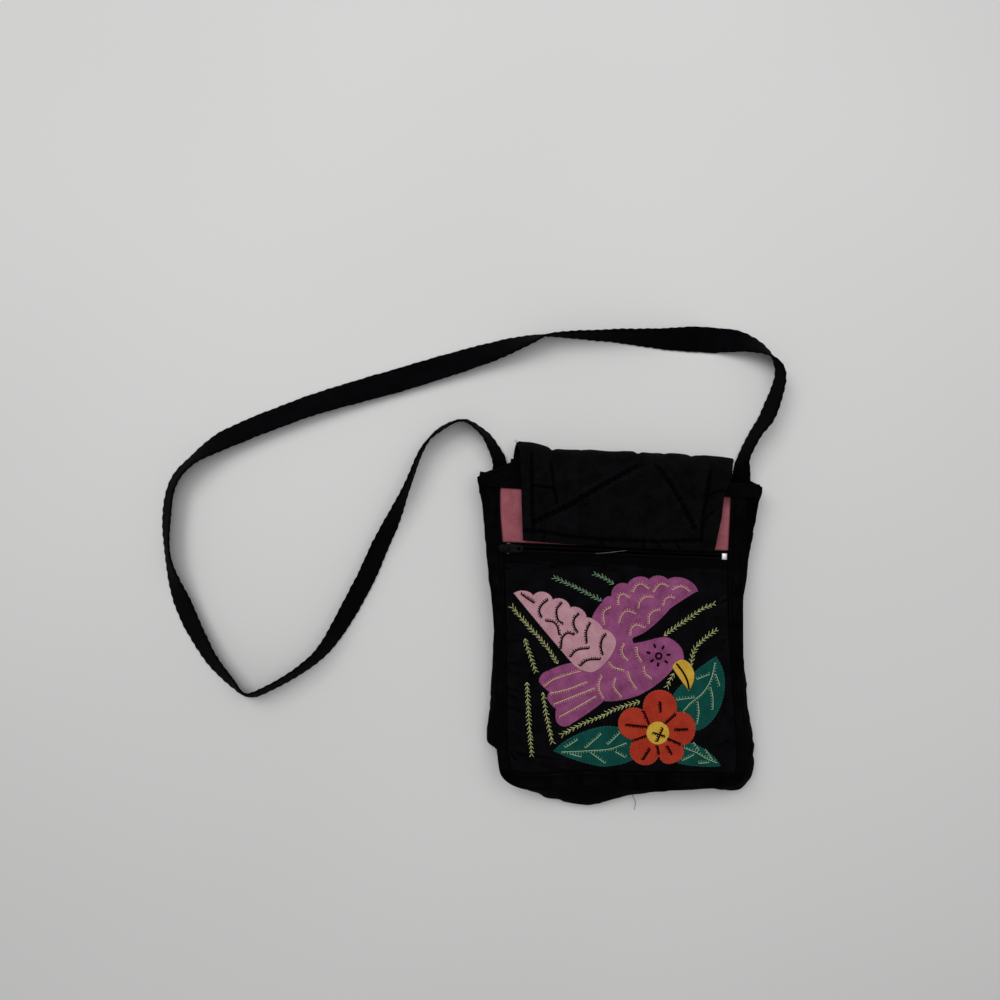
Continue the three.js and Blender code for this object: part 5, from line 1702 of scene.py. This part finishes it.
@dataclass
class Applique:
    """Bird, flower and leaves, and all the embroidery on them and round them."""

    tick: float = 1.8
    tick_thin: float = 0.75
    overlap: float = 0.18
    tick_pitch: float = 1.55
    vein_pitch: float = 1.9375
    v_pitch: float = 2.9
    v_leg: float = 3.1
    v_turn: float = 0.66
    stem_radius: float = 0.17
    leg_radius: float = 0.21
    eye_ring: float = 2.1
    eye_radius: float = 0.75
    ray_half: float = 1.6
    ray_radius: float = 0.85
    beak_pitch: float = 2.2
    beak_radius: float = 0.75
    edge_pitch: float = 2.5
    edge_radius: float = 0.17
    lift: float = 0.28
    patches: dict[str, Patch] = field(default_factory=dict)
    strands: dict[Tone, list] = field(default_factory=dict)

    def build(self) -> None:
        """Sew on the patches, lowest first, then work the embroidery and overcast the edges."""
        self.cut()
        for patch in self.patches.values():
            patch.build()
        for stroke in STROKES:
            self.blanket(stroke)
        for tone, words in SPRIGS:
            self.sprig(tone, words)
        self.eye_and_beak()
        for patch in self.patches.values():
            self.overcast(patch)
        for tone, pairs in self.strands.items():
            start = np.vstack([pair[0] for pair in pairs])
            end = np.vstack([pair[1] for pair in pairs])
            radius = np.concatenate([np.full(len(pair[0]), pair[2]) for pair in pairs])
            tubes = stitch_tubes(start, end, radius, self.lift)
            add_piece(f"stitches_{tone.name.lower()}", tubes, tone.value.material())

    def cut(self) -> None:
        """Cut the patches, each with what lies under it."""
        body = Patch("bird_body", "purple_cotton", PURPLE_COTTON, Tone.PLUM, BIRD_BODY, grain=0.5)
        right = Patch("leaf_right", "teal_cotton", TEAL_COTTON, Tone.TEAL, LEAF_RIGHT, grain=0.9)
        left = Patch("leaf_left", "teal_cotton", TEAL_COTTON, Tone.TEAL, LEAF_LEFT, grain=0.2)
        small = Patch("leaf_small", "teal_cotton", TEAL_COTTON, Tone.TEAL, LEAF_SMALL, grain=-0.4)
        wing = Patch("bird_wing", "rose_cotton", ROSE_COTTON, Tone.ROSE, BIRD_WING, (body,), grain=-0.7)
        beak = Patch("bird_beak", "yellow_cotton", YELLOW_COTTON, Tone.CORN, BIRD_BEAK, (body, right),
                     grain=0.3)
        flower = Patch("flower", "red_cotton", RED_COTTON, Tone.RED, FLOWER, (right, left, small), grain=0.1)
        center = Patch("flower_center", "yellow_cotton", YELLOW_COTTON, Tone.CORN, FLOWER_CENTER, (flower,),
                       thick=0.6, puff=0.3)
        self.patches = {p.node: p for p in (body, right, left, small, wing, beak, flower, center)}

    def height(self, points: Array) -> Array:
        """Height of the front at places: the field, or the highest patch there."""
        tall = FRONT_TOP + panel_relief(points[:, 0], points[:, 1])
        for patch in self.patches.values():
            tall = np.where(patch.inside(points) > 0.2, np.maximum(tall, patch.face(points)), tall)
        return tall

    def place(self, words: str, pitch: float) -> Array:
        """Photo points as a smooth line on the front, evenly spaced."""
        plan = PHOTO.on_height(pixels(words), APPLIQUE_Z)
        return even_path(Spline(plan).at(np.linspace(0, 1, 80)), pitch)

    def lay(self, tone: Tone, start: Array, end: Array, radius: float, proud: float = 0.1) -> None:
        """Keep stitches between points in plan, laid on the front."""
        ends = [np.column_stack([part, self.height(part) + proud]) for part in (start, end)]
        self.strands.setdefault(tone, []).append((*ends, radius))

    def blanket(self, stroke: Stroke) -> None:
        """Blanket stitch: a spine along the line and short ticks square to it on one side."""
        line = self.place(stroke.words, self.vein_pitch if stroke.tone is Tone.VEIN else self.tick_pitch)
        run = headings(line)
        sign = stroke.side.value
        if stroke.side is Side.BULGE:
            chord, bow = line[-1] - line[0], line[len(line) // 2] - line[0]
            sign = 1 if chord[0] * bow[1] - chord[1] * bow[0] > 0 else -1
        radius = SPINE_RADIUS[stroke.tone]
        over = (line[1:] - line[:-1]) * self.overlap
        self.lay(stroke.tone, line[:-1] - over, line[1:] + over, radius)
        draw = np.random.default_rng(len(line) + int(abs(line[0, 0]) * 10))
        reach = self.tick * draw.uniform(0.75, 1.15, (len(line), 1))
        lean = draw.normal(0, 0.18, (len(line), 1))
        self.lay(stroke.tone, line, line + left_of(run) * sign * reach + run * lean, radius * self.tick_thin)

    def sprig(self, tone: Tone, words: str) -> None:
        """Feather stitch: a stem of short stitches, with a V at each that opens towards the line's end."""
        fine = 0.2
        line = self.place(words, fine)
        line = even_path(line[:-int(self.v_leg * 0.8 / fine)], self.v_pitch)
        run = headings(line)
        draw = np.random.default_rng(int(abs(line[0, 0] * 7)))
        self.lay(tone, line[:-1], line[1:], self.stem_radius)
        for sign in (-1, 1):
            turn = sign * draw.normal(self.v_turn, 0.1, (len(line), 1))
            way = run * np.cos(turn) + left_of(run) * np.sin(turn)
            leg = self.v_leg * draw.uniform(0.8, 1.15, (len(line), 1))
            self.lay(tone, line - run * 0.2, line + way * leg, self.leg_radius)

    def eye_and_beak(self) -> None:
        """The bird's eye, a ring with rays, and the line along its beak."""
        middle = PHOTO.on_height(pixels(EYE), APPLIQUE_Z)
        turn = np.linspace(0, TAU, 13)
        ring = middle + self.eye_ring * np.stack([np.cos(turn), np.sin(turn)], axis=1)
        self.lay(Tone.DARK, ring[:-1], ring[1:], self.eye_radius)
        rays = PHOTO.on_height(pixels(EYE_RAYS), APPLIQUE_Z)
        half = unit(rays - middle) * self.ray_half
        self.lay(Tone.DARK, rays - half, rays + half, self.ray_radius)
        beak = self.place(BEAK_LINE, self.beak_pitch)
        over = (beak[1:] - beak[:-1]) * 0.2
        self.lay(Tone.DARK, beak[:-1] - over, beak[1:] + over, self.beak_radius)

    def overcast(self, patch: Patch) -> None:
        """Small overcast stitches across a patch's edge, in a thread near its own colour."""
        ring = even_path(np.vstack([patch.outline, patch.outline[:1]]), self.edge_pitch)
        run = headings(ring)
        inward = -left_of(run)
        inner = ring + inward * 0.95 + run * 0.35
        clear = np.ones(len(ring), bool)
        for other in self.patches.values():
            if patch in other.under:
                clear &= other.inside(ring) < -0.4
        outer = ring - inward * 0.3
        start = np.column_stack([outer, patch.ground(outer) + 0.25])
        end = np.column_stack([inner, patch.face(inner) + 0.02])
        self.strands.setdefault(patch.edge, []).append((start[clear], end[clear], self.edge_radius))


class LooseThread(NamedTuple):
    """One loose thread: its name, photo points and their heights, its radius and colour."""

    name: str
    words: str
    heights: tuple[float, ...]
    radius: float
    tone: Tone


@dataclass
class LooseEnds:
    """Frayed and loose threads at the flap and the lower edge."""

    fray: int = 14
    fray_radius: float = 0.13
    pale: LooseThread = LooseThread(
        "loose_thread_pale", "595,553.5 606,552.8 617,551.6 627,550.4", (24.4, 24.2, 24.2, 24.6), 0.15,
        Tone.PALE)
    dark: LooseThread = LooseThread(
        "loose_thread_dark", "628,787 632.5,795 635.4,803 634,810", (19.0, 8.0, 2.0, 0.5), 0.17, Tone.BLACK)

    def build(self) -> None:
        """Strands of thread, each a round profile along a bent path."""
        draw = np.random.default_rng(91)
        parts = []
        for _ in range(self.fray):
            root = np.array([draw.uniform(-80, -74), draw.uniform(119, 132), draw.uniform(10, 20)])
            way = np.array([draw.uniform(-1, 0.4), draw.uniform(0.2, 1), draw.uniform(-0.4, 0.5)])
            bend = draw.normal(0, 1.2, 3)
            reach = draw.uniform(2.0, 4.5)
            path = np.array([root, root + way * reach * 0.5 + bend * 0.4, root + way * reach + bend])
            parts.append(strand(path, self.fray_radius))
        self.join("fray_threads", parts, Tone.BLACK)
        for thread in (self.pale, self.dark):
            tall = np.array(thread.heights)
            path = np.column_stack([PHOTO.on_height(pixels(thread.words), tall), tall])
            self.join(thread.name, [strand(path, thread.radius)], thread.tone)

    def join(self, name: str, parts: list[Surface], tone: Tone) -> None:
        """Put several strands into one piece."""
        points = np.vstack([part.points for part in parts])
        shift = np.cumsum([0] + [len(part.points) for part in parts])
        faces = [[corner + step for corner in face]
                 for part, step in zip(parts, shift) for face in part.faces]
        surface = Surface(points, faces, np.vstack([part.uv for part in parts]))
        add_piece(name, surface, tone.value.material())


def main() -> None:
    """Build the stage and every piece in order."""
    logging.basicConfig(level=logging.INFO, format="%(name)s %(message)s")
    Studio().build()
    Strap().build()
    Body().build()
    Zip().build()
    Flap().build()
    Applique().build()
    LooseEnds().build()


if __name__ == "__main__":
    main()
